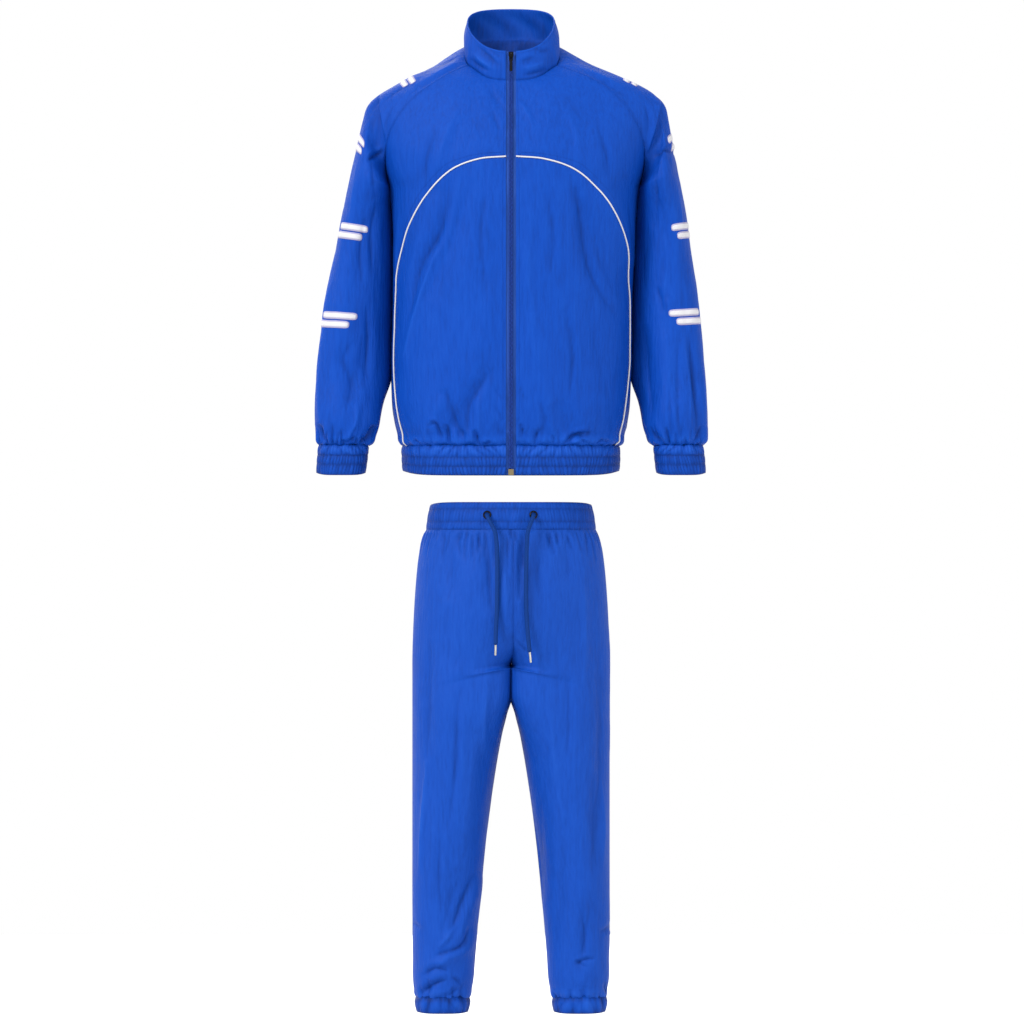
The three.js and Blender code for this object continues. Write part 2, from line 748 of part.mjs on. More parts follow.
function sleeve(sideName, side) {
  const face = folded(FACES.sleeve, side);
  // At the armpit the sleeve and the body run side by side, so the sleeve's edge stands off sideways too
  const place = (i, j) => {
    const here = face(i / SLEEVE_COLUMNS, j);
    const atEdge = i === 0 || i === SLEEVE_COLUMNS;
    if (atEdge && j > UNDERARM - 3 && j <= UNDERARM) here.p.x += side * ARMPIT_GAP;
    return here;
  };
  return panel(`sleeve_${sideName}`, SLEEVE_COLUMNS, SLEEVE_END, place, [armpitGap, armpitGap, 0, 0]);
}

// A gathered band: an outline at its top edge, run down, its puckers raised over a plain inside
function band(name, outline, { round, top, depth, swell, waves, pucker, rows, lean = 0, curl, flatAt = [] }) {
  const count = round ? outline.length : outline.length - 1;
  const centre = outline.reduce((sum, p) => sum.add(p), point(0, 0, 0)).divideScalar(outline.length);
  const outer = [];
  const inner = [];
  outline.forEach((p, i) => {
    const ahead = outline[round ? (i + 1) % count : Math.min(i + 1, count)];
    const behind = outline[round ? (i + count - 1) % count : Math.max(i - 1, 0)];
    const out = ahead.clone().sub(behind).cross(point(0, 0, 1)).setZ(0).normalize();
    if (out.dot(p.clone().sub(centre)) < 0) out.negate();
    const calm = flatAt.reduce((least, q) => Math.min(least, smooth((q.distanceTo(p) - 16) / 14)), 1);
    const phase = (waves * 2 * Math.PI * i) / count;
    const raise = pucker * calm * (0.5 - 0.5 * Math.cos(phase));
    outer.push([]);
    inner.push([]);
    for (let j = 0; j <= rows; j += 1) {
      const share = j / rows;
      const base = swell * Math.sin(Math.PI * share) - lean * (1 - share);
      const rise = share * curl * Math.abs(out.x) ** 4;
      const place = point(p.x, p.y, top - depth * share + rise).addScaledVector(out, base);
      inner[i].push(place.clone().addScaledVector(out, -BAND_CLOTH));
      outer[i].push(place.addScaledVector(out, raise * (0.45 + 0.55 * Math.sin(Math.PI * share))));
    }
  });
  addMesh(name, wallBetween(outer, inner, round), looks.rib);
}

const range = (steps) => Array.from({ length: steps + 1 }, (_, i) => i / steps);
const mirrored = (points) => points.map((p) => point(-p.x, p.y, p.z)).reverse();

// Outlines of the openings, the right half of the picture first
function hemOutline(steps) {
  const front = range(24).map((u) => bodyFront(u, BODY_END));
  const back = range(24).map((u) => bodyBack(1 - u, BODY_END)).slice(1);
  const half = [...front, ...back];
  return spaced([...half, ...mirrored(half).slice(1)], steps);
}

function roundOutline(faces, at, steps, side = 1) {
  const whole = faces.flatMap((face) => range(24).map((u) => face(u, at)).slice(1));
  const outline = spaced([...whole, whole[0]], steps).slice(0, -1);
  outline.forEach((p) => p.setX(side * p.x));
  return outline;
}

function waistOutline(steps) {
  const front = range(24).map((u) => legFront(u, 0));
  const back = range(24).map((u) => legBack(1 - u, 0)).slice(1);
  const half = [...front, ...back];
  return spaced([...half, ...mirrored(half).slice(1)], steps).slice(0, -1);
}

const HEM_WAVES = 40;
const CUFF_WAVES = 16;
const WAIST_WAVES = 40;
const ANKLE_WAVES = 12;
const STEPS_PER_WAVE = 2;

// Collar: a stand, its foot on the neck seam and its rim tilted forward
const RIM = { halfWidth: 78, frontY: -74, backY: 63, frontZ: 31, backZ: 107, sideRise: 15 };
const COLLAR_ROWS = 3;
const COLLAR_WALL = 2.6;

function rimPoint(turn, sign) {
  const share = (1 - Math.cos(turn)) / 2;
  const x = RIM.halfWidth * Math.sin(turn) + ZIP_HALF * (1 - share) * Math.cos(turn / 2) ** 6;
  return point(
    sign * Math.min(x, RIM.halfWidth),
    THREE.MathUtils.lerp(RIM.frontY, RIM.backY, share),
    THREE.MathUtils.lerp(RIM.frontZ, RIM.backZ, share) + RIM.sideRise * Math.sin(turn) ** 2
  );
}

const COLLAR_SWELL = 3;
const NECK_FRONT = { y: -80, z: -22 };
const collarFront = (share) =>
  point(
    0,
    THREE.MathUtils.lerp(NECK_FRONT.y, RIM.frontY, share) - COLLAR_SWELL * Math.sin(Math.PI * share),
    THREE.MathUtils.lerp(NECK_FRONT.z, RIM.frontZ, share)
  );

function collar() {
  const neckHalf = [
    ...range(NECK_STEPS).map((u) => bodyFront(u, 0)),
    ...range(SLEEVE_COLUMNS).slice(1).map((u) => sleeveFace(u, 0)),
    ...range(BACK_COLUMNS).slice(1).map((u) => bodyBack(1 - u, 0)),
  ];
  const swayed = (points, sign) => points.map((p) => point(sign * p.x + swayAt(p), p.y, p.z));
  const foot = [...swayed(neckHalf, 1), ...swayed(neckHalf, -1).reverse().slice(1)];
  const half = neckHalf.length - 1;
  const reach = [0];
  for (let i = 1; i <= half; i += 1) reach.push(reach[i - 1] + foot[i].distanceTo(foot[i - 1]));
  const up = point(0, 0, 1);
  const place = (i, j) => {
    const near = i <= half ? i : 2 * half - i;
    const rim = rimPoint((Math.PI * reach[near]) / reach[half], i <= half ? 1 : -1);
    const share = j / COLLAR_ROWS;
    const base = foot[i].clone().addScaledVector(up, LAY_GAP);
    const p = base.lerp(rim, share);
    const ahead = foot[Math.min(i + 1, 2 * half)];
    const behind = foot[Math.max(i - 1, 0)];
    const n = ahead.clone().sub(behind).setZ(0).cross(up).normalize();
    if (n.dot(p) < 0) n.negate();
    return { p: p.addScaledVector(n, COLLAR_SWELL * Math.sin(Math.PI * share)), n };
  };
  panel("collar", 2 * half, COLLAR_ROWS, place, [0, 0, 0, 0], looks.cloth, COLLAR_WALL);
}

// Zip: straight strips that follow the front edge from the collar's rim to the foot of the hem band
const ZIP = { chainHalf: 3.3, chainDeep: 2.3, tapeFrom: 3.65, tapeTo: 11.5, tapeDeep: 0.8, boxTop: -722 };
const hemFoot = HEM_TOP - HEM_DEPTH;
const frontLine = [
  ...range(COLLAR_ROWS).slice(1).reverse().map(collarFront),
  ...Array.from({ length: BODY_END + 1 }, (_, at) => bodyFront(0, at).setX(0)).filter(
    (_, at) => at % 2 === 0 || at > 17
  ),
  point(0, -124, -704),
  point(0, -123, hemFoot),
];

function stripAlong(line, from, to, shallow, deep) {
  const offset = (i, by) => {
    const ahead = line[Math.min(i + 1, line.length - 1)];
    const behind = line[Math.max(i - 1, 0)];
    const along = ahead.clone().sub(behind).normalize();
    return new THREE.Vector2(line[i].y - by * along.z, line[i].z + by * along.y);
  };
  const near = line.map((_, i) => offset(i, shallow));
  const far = line.map((_, i) => offset(i, deep)).reverse();
  const geometry = new THREE.ExtrudeGeometry(new THREE.Shape([...near, ...far]), {
    depth: to - from,
    bevelEnabled: false,
  });
  geometry.applyMatrix4(new THREE.Matrix4().makeBasis(point(0, 1, 0), point(0, 0, 1), point(1, 0, 0)));
  geometry.translate(from, 0, 0);
  return geometry;
}

// Part of the front line between two heights
function lineBetween(high, low) {
  const cut = (z) => {
    const i = frontLine.findIndex((p) => p.z <= z);
    const above = frontLine[i - 1];
    return above.clone().lerp(frontLine[i], (above.z - z) / (above.z - frontLine[i].z));
  };
  return [cut(high), ...frontLine.filter((p) => p.z < high - 1 && p.z > low + 1), cut(low)];
}

function zip() {
  const chainLine = lineBetween(RIM.frontZ - 1, ZIP.boxTop + 0.5);
  const chain = stripAlong(chainLine, -ZIP.chainHalf, ZIP.chainHalf, 0.3, 0.3 + ZIP.chainDeep);
  addMesh("zip_chain", chain, looks.tape);
  const tapeLine = lineBetween(RIM.frontZ - 1, hemFoot + 1);
  const behind = BAND_CLOTH + 0.8;
  for (const [sideName, side] of Object.entries(SIDES)) {
    const from = side > 0 ? ZIP.tapeFrom : -ZIP.tapeTo;
    const to = side > 0 ? ZIP.tapeTo : -ZIP.tapeFrom;
    const tape = stripAlong(tapeLine, from, to, behind, behind + ZIP.tapeDeep);
    addMesh(`zip_tape_${sideName}`, tape, looks.tape);
  }
  const box = lineBetween(ZIP.boxTop, hemFoot + 0.3);
  addMesh("zip_box", stripAlong([box[0], box[box.length - 1]], -4.8, 4.8, -1, 2.4), looks.brass);
}

// Zip slider and pull. The pull's crossbar hangs in the slider's crown and turns about it.
const SLIDER = { halfWidth: 4.6, height: 12, plate: 1.6, top: 29 };
const CROWN = { halfWidth: 1.3, gap: 3, bar: 1, height: 9 };
const PULL = { bar: 1.3, halfWidth: 3.4, slotHalf: 1.9, slotLength: 6.4, length: 28, thick: 1.3 };
const sliderFoot = point(0, -81.6, SLIDER.top - SLIDER.height);
const pullPivot = point(0, 0, 0);

function solidOf(geometry) {
  geometry.deleteAttribute("normal");
  geometry.deleteAttribute("uv");
  const merged = mergeVertices(geometry);
  const mesh = new wasm.Mesh({
    numProp: 3,
    vertProperties: new Float32Array(merged.attributes.position.array),
    triVerts: new Uint32Array(merged.index.array),
  });
  return new wasm.Manifold(mesh);
}

function geometryOf(solid) {
  const mesh = solid.getMesh();
  const geometry = new THREE.BufferGeometry();
  geometry.setAttribute("position", new THREE.BufferAttribute(Float32Array.from(mesh.vertProperties), 3));
  geometry.setIndex(new THREE.BufferAttribute(Uint32Array.from(mesh.triVerts), 1));
  geometry.computeVertexNormals();
  return geometry;
}

function sliderAndPull() {
  const middle = SLIDER.top - SLIDER.height / 2;
  const face = lineBetween(SLIDER.top, SLIDER.top - SLIDER.height).reduce((least, p) => Math.min(least, p.y), 0);
  const plateBack = face - LAY_GAP;
  const outline = new THREE.Shape([
    new THREE.Vector2(-SLIDER.halfWidth, SLIDER.height / 2),
    new THREE.Vector2(SLIDER.halfWidth, SLIDER.height / 2),
    new THREE.Vector2(SLIDER.halfWidth, -1),
    new THREE.Vector2(2.6, -SLIDER.height / 2),
    new THREE.Vector2(-2.6, -SLIDER.height / 2),
    new THREE.Vector2(-SLIDER.halfWidth, -1),
  ]);
  const plate = new THREE.ExtrudeGeometry(outline, { depth: SLIDER.plate, bevelEnabled: false });
  plate.rotateX(Math.PI / 2);
  plate.translate(0, plateBack, middle);
  const front = plateBack - SLIDER.plate;
  const arch = new THREE.Shape([
    new THREE.Vector2(front + 0.4, CROWN.height / 2),
    new THREE.Vector2(front - CROWN.gap - CROWN.bar, CROWN.height / 2 - 1.5),
    new THREE.Vector2(front - CROWN.gap - CROWN.bar, -CROWN.height / 2 + 1.5),
    new THREE.Vector2(front + 0.4, -CROWN.height / 2),
  ]);
  arch.holes.push(
    new THREE.Path([
      new THREE.Vector2(front, CROWN.height / 2 - 1.8),
      new THREE.Vector2(front - CROWN.gap, CROWN.height / 2 - 2.4),
      new THREE.Vector2(front - CROWN.gap, -CROWN.height / 2 + 2.4),
      new THREE.Vector2(front, -CROWN.height / 2 + 1.8),
    ])
  );
  const crown = new THREE.ExtrudeGeometry(arch, { depth: 2 * CROWN.halfWidth, bevelEnabled: false });
  crown.applyMatrix4(new THREE.Matrix4().makeBasis(point(0, 1, 0), point(0, 0, 1), point(1, 0, 0)));
  crown.translate(-CROWN.halfWidth, 0, middle);
  addMesh("zip_slider", geometryOf(solidOf(plate).add(solidOf(crown))), looks.black);
  pullPivot.set(0, front - CROWN.gap / 2, middle - CROWN.height / 2 + 3.4);
  const tab = new THREE.Shape([
    new THREE.Vector2(PULL.halfWidth, PULL.bar / 2),
    new THREE.Vector2(-PULL.halfWidth, PULL.bar / 2),
    new THREE.Vector2(-PULL.halfWidth, -PULL.slotLength - 1),
    new THREE.Vector2(-2.2, -PULL.slotLength - 4),
    new THREE.Vector2(-2.6, -PULL.length + 2),
    new THREE.Vector2(-1.4, -PULL.length),
    new THREE.Vector2(1.4, -PULL.length),
    new THREE.Vector2(2.6, -PULL.length + 2),
    new THREE.Vector2(2.2, -PULL.slotLength - 4),
    new THREE.Vector2(PULL.halfWidth, -PULL.slotLength - 1),
  ]);
  tab.holes.push(
    new THREE.Path([
      new THREE.Vector2(-PULL.slotHalf, -PULL.bar / 2),
      new THREE.Vector2(PULL.slotHalf, -PULL.bar / 2),
      new THREE.Vector2(PULL.slotHalf, -PULL.slotLength),
      new THREE.Vector2(-PULL.slotHalf, -PULL.slotLength),
    ])
  );
  const pull = new THREE.ExtrudeGeometry(tab, { depth: PULL.thick, bevelEnabled: false });
  pull.translate(0, 0, -PULL.thick / 2);
  pull.rotateX(Math.PI / 2);
  pull.translate(pullPivot.x, pullPivot.y, pullPivot.z);
  addMesh("zip_pull", pull, looks.black);
}

// Raised marks down each sleeve: two staggered bars, laid on the sleeve's own points
const MARKS = rowsOf(
  ["side", "at", "from", "to"],
  [
    [-1, 2.45, 0.2, 0.42],
    [-1, 6.9, 0.3, 0.52],
    [-1, 11.1, 0.24, 0.45],
    [-1, 15.3, 0.26, 0.45],
    [1, 2.6, 0.28, 0.46],
    [1, 6.9, 0.38, 0.57],
    [1, 11.1, 0.32, 0.53],
    [1, 15.15, 0.27, 0.46],
  ]
);
const MARK = { barHeight: 12, spacing: 16, stagger: 0.035, thick: 1.6, lay: 0.75 };

function onGrid(grid, u, at) {
  const columns = grid.length - 1;
  const i = Math.min(Math.floor(u * columns), columns - 1);
  const j = Math.min(Math.floor(at), grid[0].length - 2);
  const [a, b] = [u * columns - i, at - j];
  const corner = a > b ? grid[i + 1][j] : grid[i][j + 1];
  const blend = (key) =>
    point(0, 0, 0)
      .addScaledVector(grid[i][j][key], 1 - Math.max(a, b))
      .addScaledVector(corner[key], Math.abs(a - b))
      .addScaledVector(grid[i + 1][j + 1][key], Math.min(a, b));
  return { p: blend("p"), n: blend("n").normalize() };
}

function marks(grids) {
  const counts = { left: 0, right: 0 };
  for (const mark of MARKS) {
    const sideName = mark.side > 0 ? "left" : "right";
    counts[sideName] += 1;
    const grid = grids[sideName];
    const cell = grid[6][Math.floor(mark.at)].p.distanceTo(grid[6][Math.floor(mark.at) + 1].p);
    for (const [bar, name] of [[0, "upper"], [1, "lower"]]) {
      const start = mark.from + bar * MARK.stagger;
      const end = mark.to + bar * MARK.stagger;
      const stops = [start, end];
      for (let i = 0; i <= SLEEVE_COLUMNS; i += 1) {
        const u = i / SLEEVE_COLUMNS;
        if (u > start + 0.003 && u < end - 0.003) stops.push(u);
      }
      stops.sort((a, b) => a - b);
      const first = mark.at + ((bar - 0.5) * MARK.spacing - MARK.barHeight / 2) / cell;
      const last = first + MARK.barHeight / cell;
      const rows = Math.floor(last) > Math.floor(first) ? [first, Math.floor(last), last] : [first, last];
      const laid = stops.map((u) => rows.map((at) => onGrid(grid, u, at)));
      const lift = (by) => laid.map((column) => column.map(({ p, n }) => p.clone().addScaledVector(n, by)));
      addMesh(
        `mark_${sideName}_${counts[sideName]}_${name}`,
        wallBetween(lift(MARK.lay + MARK.thick), lift(MARK.lay)),
        looks.white
      );
    }
  }
}

// Trousers
function trouserPanels() {
  for (const [sideName, side] of Object.entries(SIDES)) {
    for (const [name, face] of [
      ["front", FACES.legFront],
      ["back", FACES.legBack],
    ]) {
      const cloth = folded(face, side);
      panel(
        `trouser_${name}_${sideName}`,
        LEG_COLUMNS,
        LEG_END,
        (i, j) => cloth(i / LEG_COLUMNS, j),
        [SEAM_GAP, SEAM_GAP, 0, 0]
      );
    }
  }
}

// Eyelets and the drawcord's two free ends, each ending in a metal tip
const EYELET = { outer: 7.8, bore: 4.8, thick: 1.8, z: -804 };
const CORDS = {
  right: rowsOf(
    ["x", "y", "z"],
    [
      [-43, -100.4, -804],
      [-43, -105, -804.5],
      [-42, -111.5, -807.5],
      [-38, -117, -816],
      [-29, -122.5, -834],
      [-25.4, -124, -860],
      [-24.6, -124.4, -892],
      [-24.7, -124.6, -935],
      [-25.6, -124.4, -980],
      [-27, -124, -1010],
      [-27.6, -123.6, -1037],
    ]
  ),
  left: rowsOf(
    ["x", "y", "z"],
    [
      [40.5, -100.6, -804],
      [40.5, -105, -804.5],
      [39.8, -111.5, -807.5],
      [36.5, -117, -816],
      [30.5, -122.5, -834],
      [28.4, -124, -860],
      [27.6, -124.4, -892],
      [27, -124.6, -935],
      [27.8, -124.4, -980],
      [30, -124, -1015],
      [33.6, -123.4, -1050],
    ]
  ),
};
const TIP = { length: 20, radius: 2.1 };
const CORD_SIDES = 8;
const WAIST = { swell: 1, lean: 8 };

function waistTrim() {
  const outline = waistOutline(400);
  const share = (WAIST_TOP - EYELET.z) / WAIST_DEPTH;
  for (const [sideName, rows] of Object.entries(CORDS)) {
    const x = rows[0].x;
    const off = (p) => (p.y < 0 ? Math.abs(p.x - x) : Infinity);
    const index = outline.reduce((best, p, i) => (off(p) < off(outline[best]) ? i : best), 0);
    const slope = outline[index + 3].clone().sub(outline[index - 3]);
    const faceY = outline[index].y + WAIST.lean * (1 - share) - WAIST.swell * Math.sin(Math.PI * share);
    const ring = new THREE.LatheGeometry(
      [
        new THREE.Vector2(EYELET.bore, 0),
        new THREE.Vector2(EYELET.outer, 0),
        new THREE.Vector2(EYELET.outer - 0.6, EYELET.thick * 0.6),
        new THREE.Vector2(EYELET.outer - 1.6, EYELET.thick),
        new THREE.Vector2(EYELET.bore, EYELET.thick * 0.8),
        new THREE.Vector2(EYELET.bore, 0),
      ],
      16
    );
    ring.rotateX(Math.PI - Math.atan2(WAIST.lean, WAIST_DEPTH));
    ring.rotateZ(Math.atan2(slope.y, slope.x));
    ring.translate(x, faceY - 0.8, EYELET.z);
    addMesh(`eyelet_${sideName}`, ring, looks.black);
    const route = rows.map((row) => point(row.x, row.y, row.z));
    const curve = new THREE.CatmullRomCurve3(route, false, "centripetal");
    const steps = curve.getPoints(2 * (rows.length - 1));
    const path = steps.map((p) => ({ p, n: point(1, 0, 0) }));
    addMesh(`drawcord_${sideName}`, tubeAlong(path, CORD_RADIUS, CORD_SIDES), looks.tape);
    const end = steps[steps.length - 1];
    const along = end.clone().sub(steps[steps.length - 2]).normalize();
    const tipPath = [LAY_GAP, TIP.length].map((d) => ({
      p: end.clone().addScaledVector(along, d),
      n: point(1, 0, 0),
    }));
    addMesh(`cord_tip_${sideName}`, tubeAlong(tipPath, TIP.radius, CORD_SIDES), looks.steel);
  }
}

for (const [sideName, side] of Object.entries(SIDES)) jacketFront(sideName, side);
jacketBack();
const sleeveGrids = { left: sleeve("left", 1), right: sleeve("right", -1) };
marks(sleeveGrids);
collar();
band("hem_band", hemOutline(HEM_WAVES * STEPS_PER_WAVE), {
  round: false,
  top: HEM_TOP,
  depth: HEM_DEPTH,
  swell: 2,
  curl: 8,
  waves: HEM_WAVES,
  pucker: 1.6,
  rows: 2,
});
for (const [sideName, side] of Object.entries(SIDES)) {
  band(`cuff_${sideName}`, roundOutline([sleeveFace], SLEEVE_END, CUFF_WAVES * STEPS_PER_WAVE, side), {
    round: true,
    top: CUFF_TOP,
    depth: CUFF_DEPTH,
    swell: 1,
    curl: 4,
    waves: CUFF_WAVES,
    pucker: 1.6,
    rows: 2,
  });
  const ankleFaces = [legFront, (u, at) => legBack(1 - u, at)];
  const ankleOutline = roundOutline(ankleFaces, LEG_END, ANKLE_WAVES * STEPS_PER_WAVE, side);
  band(`ankle_band_${sideName}`, ankleOutline, {
    round: true,
    top: ANKLE_TOP,
    depth: ANKLE_DEPTH,
    swell: 0,
    curl: 3,
    waves: ANKLE_WAVES,
    pucker: 2.2,
    rows: 1,
  });
}
zip();
sliderAndPull();
trouserPanels();
band("waistband", waistOutline(WAIST_WAVES * STEPS_PER_WAVE), {
  round: true,
  top: WAIST_TOP,
  depth: WAIST_DEPTH,
  swell: WAIST.swell,
  lean: WAIST.lean,
  curl: 0,
  waves: WAIST_WAVES,
  pucker: 1.6,
  rows: 2,
  flatAt: Object.values(CORDS).map((rows) => point(rows[0].x, -104, -831)),
});
waistTrim();

export default groupOf;
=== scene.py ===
import math

import bmesh
import bpy
import numpy as np
from mathutils import Matrix, Vector


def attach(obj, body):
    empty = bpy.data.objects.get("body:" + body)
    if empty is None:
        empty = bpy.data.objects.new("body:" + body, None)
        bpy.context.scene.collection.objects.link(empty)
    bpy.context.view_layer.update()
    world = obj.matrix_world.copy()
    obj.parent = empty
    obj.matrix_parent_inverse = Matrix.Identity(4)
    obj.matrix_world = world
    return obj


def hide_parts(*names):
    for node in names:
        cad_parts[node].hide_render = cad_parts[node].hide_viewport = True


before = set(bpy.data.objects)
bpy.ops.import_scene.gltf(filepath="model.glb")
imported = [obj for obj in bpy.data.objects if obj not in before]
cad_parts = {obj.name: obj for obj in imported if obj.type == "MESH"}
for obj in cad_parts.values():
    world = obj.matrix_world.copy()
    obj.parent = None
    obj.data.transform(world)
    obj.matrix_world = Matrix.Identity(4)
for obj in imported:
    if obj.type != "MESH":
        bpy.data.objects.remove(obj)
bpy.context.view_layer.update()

MM = 0.001
SIDES = {"left": 1, "right": -1}
ZIP_HALF = 9

# the last row of each piece's tables, and steps along the neck and the arch seam
BODY_END = 20
SLEEVE_END = 22
LEG_END = 21
NECK_STEPS = 4
ARCH_TOP_STEPS = 10
ARCH_SIDE_STEPS = 14


def smooth(t):
    """A smooth step from 0, where t is 0 or less, to 1, where it is 1 or more."""
    t = np.clip(t, 0, 1)
    return t * t * (3 - 2 * t)


# camera and lights
CAMERA_REACH = 30.0
VIEW_MIDDLE = (0.0018, -0.06, -0.799)
VIEW_WIDTH = 1.8432
SENSOR = 36


def make_camera():
    """Straight on from afar: the view's width is that of the photograph, at 1.8 mm a pixel."""
    data = bpy.data.cameras.new("camera")
    camera = bpy.data.objects.new("camera", data)
    bpy.context.scene.collection.objects.link(camera)
    camera.location = Vector(VIEW_MIDDLE) - Vector((0, CAMERA_REACH, 0))
    camera.rotation_euler = (math.radians(90), 0, 0)
    data.sensor_width = SENSOR
    data.lens = SENSOR / (VIEW_WIDTH / CAMERA_REACH)
    data.clip_end = 3 * CAMERA_REACH
    bpy.context.scene.camera = camera


def make_light(name, strength, angle, turn):
    """A broad sun: its strength, the angle it fills and its turn, both in degrees."""
    data = bpy.data.lights.new(name, "SUN")
    data.energy = strength
    data.angle = math.radians(angle)
    lamp = bpy.data.objects.new(name, data)
    lamp.rotation_euler = [math.radians(a) for a in turn]
    bpy.context.scene.collection.objects.link(lamp)


# smooth paths
def smooth_path(points, steps=8):
    """Points at even shares of each stretch of one smooth curve through the given ones."""
    p = np.array(points, float)
    if len(p) == 2:
        return p[0] + np.linspace(0, 1, steps + 1)[:, None] * (p[1] - p[0])
    ends = np.vstack([2 * p[0] - p[1], p, 2 * p[-1] - p[-2]])
    out = []
    for a, b, c, d in zip(ends, ends[1:], ends[2:], ends[3:]):
        ta, tb, tc = [np.linalg.norm(k) ** 0.5 for k in (b - a, c - b, d - c)]
        leave = ((b - a) / ta - (c - a) / (ta + tb) + (c - b) / tb) * tb
        arrive = ((c - b) / tb - (d - b) / (tb + tc) + (d - c) / tc) * tb
        for t in np.arange(steps) / steps:
            s = 1 - t
            out.append(
                b * (1 + 2 * t) * s * s + leave * t * s * s + c * t * t * (3 - 2 * t) - arrive * t * t * s
            )
    return np.vstack([out, p[-1]])


def reach_along(points):
    """How far along a path each of its points lies."""
    return np.concatenate([[0], np.cumsum(np.linalg.norm(np.diff(points, axis=0), axis=1))])


def read_path(points, reach, at):
    return np.stack([np.interp(at, reach, points[:, k]) for k in range(points.shape[1])], -1)


def evenly(points, steps):
    reach = reach_along(points)
    return read_path(points, reach, np.linspace(0, reach[-1], steps + 1))


def path_length(points):
    return float(np.linalg.norm(np.diff(points, axis=0), axis=1).sum())


def unit(ways):
    return ways / np.linalg.norm(ways, axis=1)[:, None]


def level_outward(along, from_middle):
    """Level ways square to a line's own ways, on the side away from its middle."""
    way = unit(np.stack([along[:, 1], -along[:, 0], 0 * along[:, 0]], -1))
    return way * np.sign((way * from_middle).sum(1))[:, None]


# materials
class Value:
    """A socket that takes part in sums: each one adds its Math node."""

    def __init__(self, finish, socket):
        self.finish = finish
        self.socket = socket

    def sum(self, operation, a, b):
        return self.finish.node("ShaderNodeMath", {0: a, 1: b}, operation=operation)

    def __add__(self, other):
        return self.sum("ADD", self, other)

    __radd__ = __add__

    def __mul__(self, other):
        return self.sum("MULTIPLY", self, other)

    def __sub__(self, other):
        return self.sum("SUBTRACT", self, other)


class Finish:
    """A material and the nodes that give it its surface."""

    def __init__(self, name, **constants):
        self.material = bpy.data.materials.new(name)
        self.material.use_nodes = True
        self.tree = self.material.node_tree
        self.shader = self.tree.nodes["Principled BSDF"]
        for socket, value in constants.items():
            self.shader.inputs[socket.replace("_", " ")].default_value = value

    def node(self, kind, values=None, out=0, stops=None, **settings):
        made = self.tree.nodes.new(kind)
        for key, value in settings.items():
            setattr(made, key, value)
        if stops:
            ramp = made.color_ramp
            while len(ramp.elements) < len(stops):
                ramp.elements.new(1)
            for element, (place, color) in zip(ramp.elements, stops):
                element.position = place
                element.color = color
        for key, value in (values or {}).items():
            if isinstance(value, Value):
                self.tree.links.new(value.socket, made.inputs[key])
            else:
                made.inputs[key].default_value = value
        return Value(self, made.outputs[out])

    def mix(self, share, a, b):
        return self.node("ShaderNodeMix", {0: share, 6: a, 7: b}, out=2, data_type="RGBA")

    def noise(self, where, scale, detail):
        values = {"Vector": where, "Scale": scale, "Detail": detail, "Roughness": 0.55}
        return self.node("ShaderNodeTexNoise", values)

    def wave(self, where, scale, distortion, way):
        values = {"Vector": where, "Scale": scale, "Distortion": distortion}
        return self.node("ShaderNodeTexWave", values, bands_direction=way)

    def stretch(self, where, scale):
        return self.node("ShaderNodeMapping", {"Vector": where, "Scale": scale})

    def place(self):
        return self.node("ShaderNodeTexCoord", out="Object")

    def bump(self, height, strength, distance):
        values = {"Height": height, "Strength": strength, "Distance": distance}
        self.give("Normal", self.node("ShaderNodeBump", values))

    def give(self, socket, value):
        self.tree.links.new(value.socket, self.shader.inputs[socket])


def color(r, g, b, level=1.0):
    """A colour as seen, 0 to 255 a channel, as the light that it gives back."""
    parts = [v / 255 for v in (r, g, b)]
    return [*(level * (v / 12.92 if v < 0.04045 else ((v + 0.055) / 1.055) ** 2.4) for v in parts), 1]


# the share of each seen colour that a look gives back under the studio's strong light
CLOTH_LEVEL = 0.5
SATIN_LEVEL = 0.55
METAL_LEVEL = 0.7


def nylon(name, main, deep, light_tone_and_ridge_highlight, fold_shade_strength=0.42, crinkle=1.0):
    """Crinkled nylon, with painted shade in the troughs of its folds and a painted highlight on their ridges.
    """
    finish = Finish(name, IOR=1.3, Specular_IOR_Level=0.2)
    where = finish.place()
    drawn = finish.stretch(where, (1, 1, 0.13))
    fine = finish.noise(drawn, 430, 3)
    broad = finish.noise(drawn, 190, 3)
    slow = finish.noise(where, 7, 2)
    weave = finish.noise(where, 1900, 1)
    # Painted shade and highlight: the fold attribute pulls crease troughs towards the dark stop and ridges
    # towards the light stop, over a random tone from the noises.
    fold = finish.node("ShaderNodeAttribute", attribute_name="fold", out="Fac")
    tone_and_fold_shade = fold * fold_shade_strength - 0.04 + fine * 0.24 + broad * 0.6 + slow * 0.24
    stops = [(0.0, deep), (0.5, main), (1.0, light_tone_and_ridge_highlight)]
    shades = [(place, color(*shade, CLOTH_LEVEL)) for place, shade in stops]
    finish.give("Base Color", finish.node("ShaderNodeValToRGB", {"Fac": tone_and_fold_shade}, stops=shades))
    finish.give("Roughness", 0.46 + broad * 0.16 + weave * 0.06)
    finish.bump(fine * 0.5 + broad * 1.2 + weave * 0.1, 0.8 * crinkle, 0.0016)
    return finish.material


def satin(name, shade):
    finish = Finish(name, IOR=1.3, Specular_IOR_Level=0.3)
    where = finish.place()
    threads = finish.noise(finish.stretch(where, (0.2, 0.4, 1)), 2400, 2)
    slow = finish.noise(where, 60, 2)
    worn = [v * 0.93 for v in shade]
    share = threads * 0.6 + slow * 0.3
    finish.give("Base Color", finish.mix(share, color(*shade, SATIN_LEVEL), color(*worn, SATIN_LEVEL)))
    finish.give("Roughness", 0.5 + threads * 0.15)
    finish.bump(threads, 0.35, 0.0004)
    return finish.material


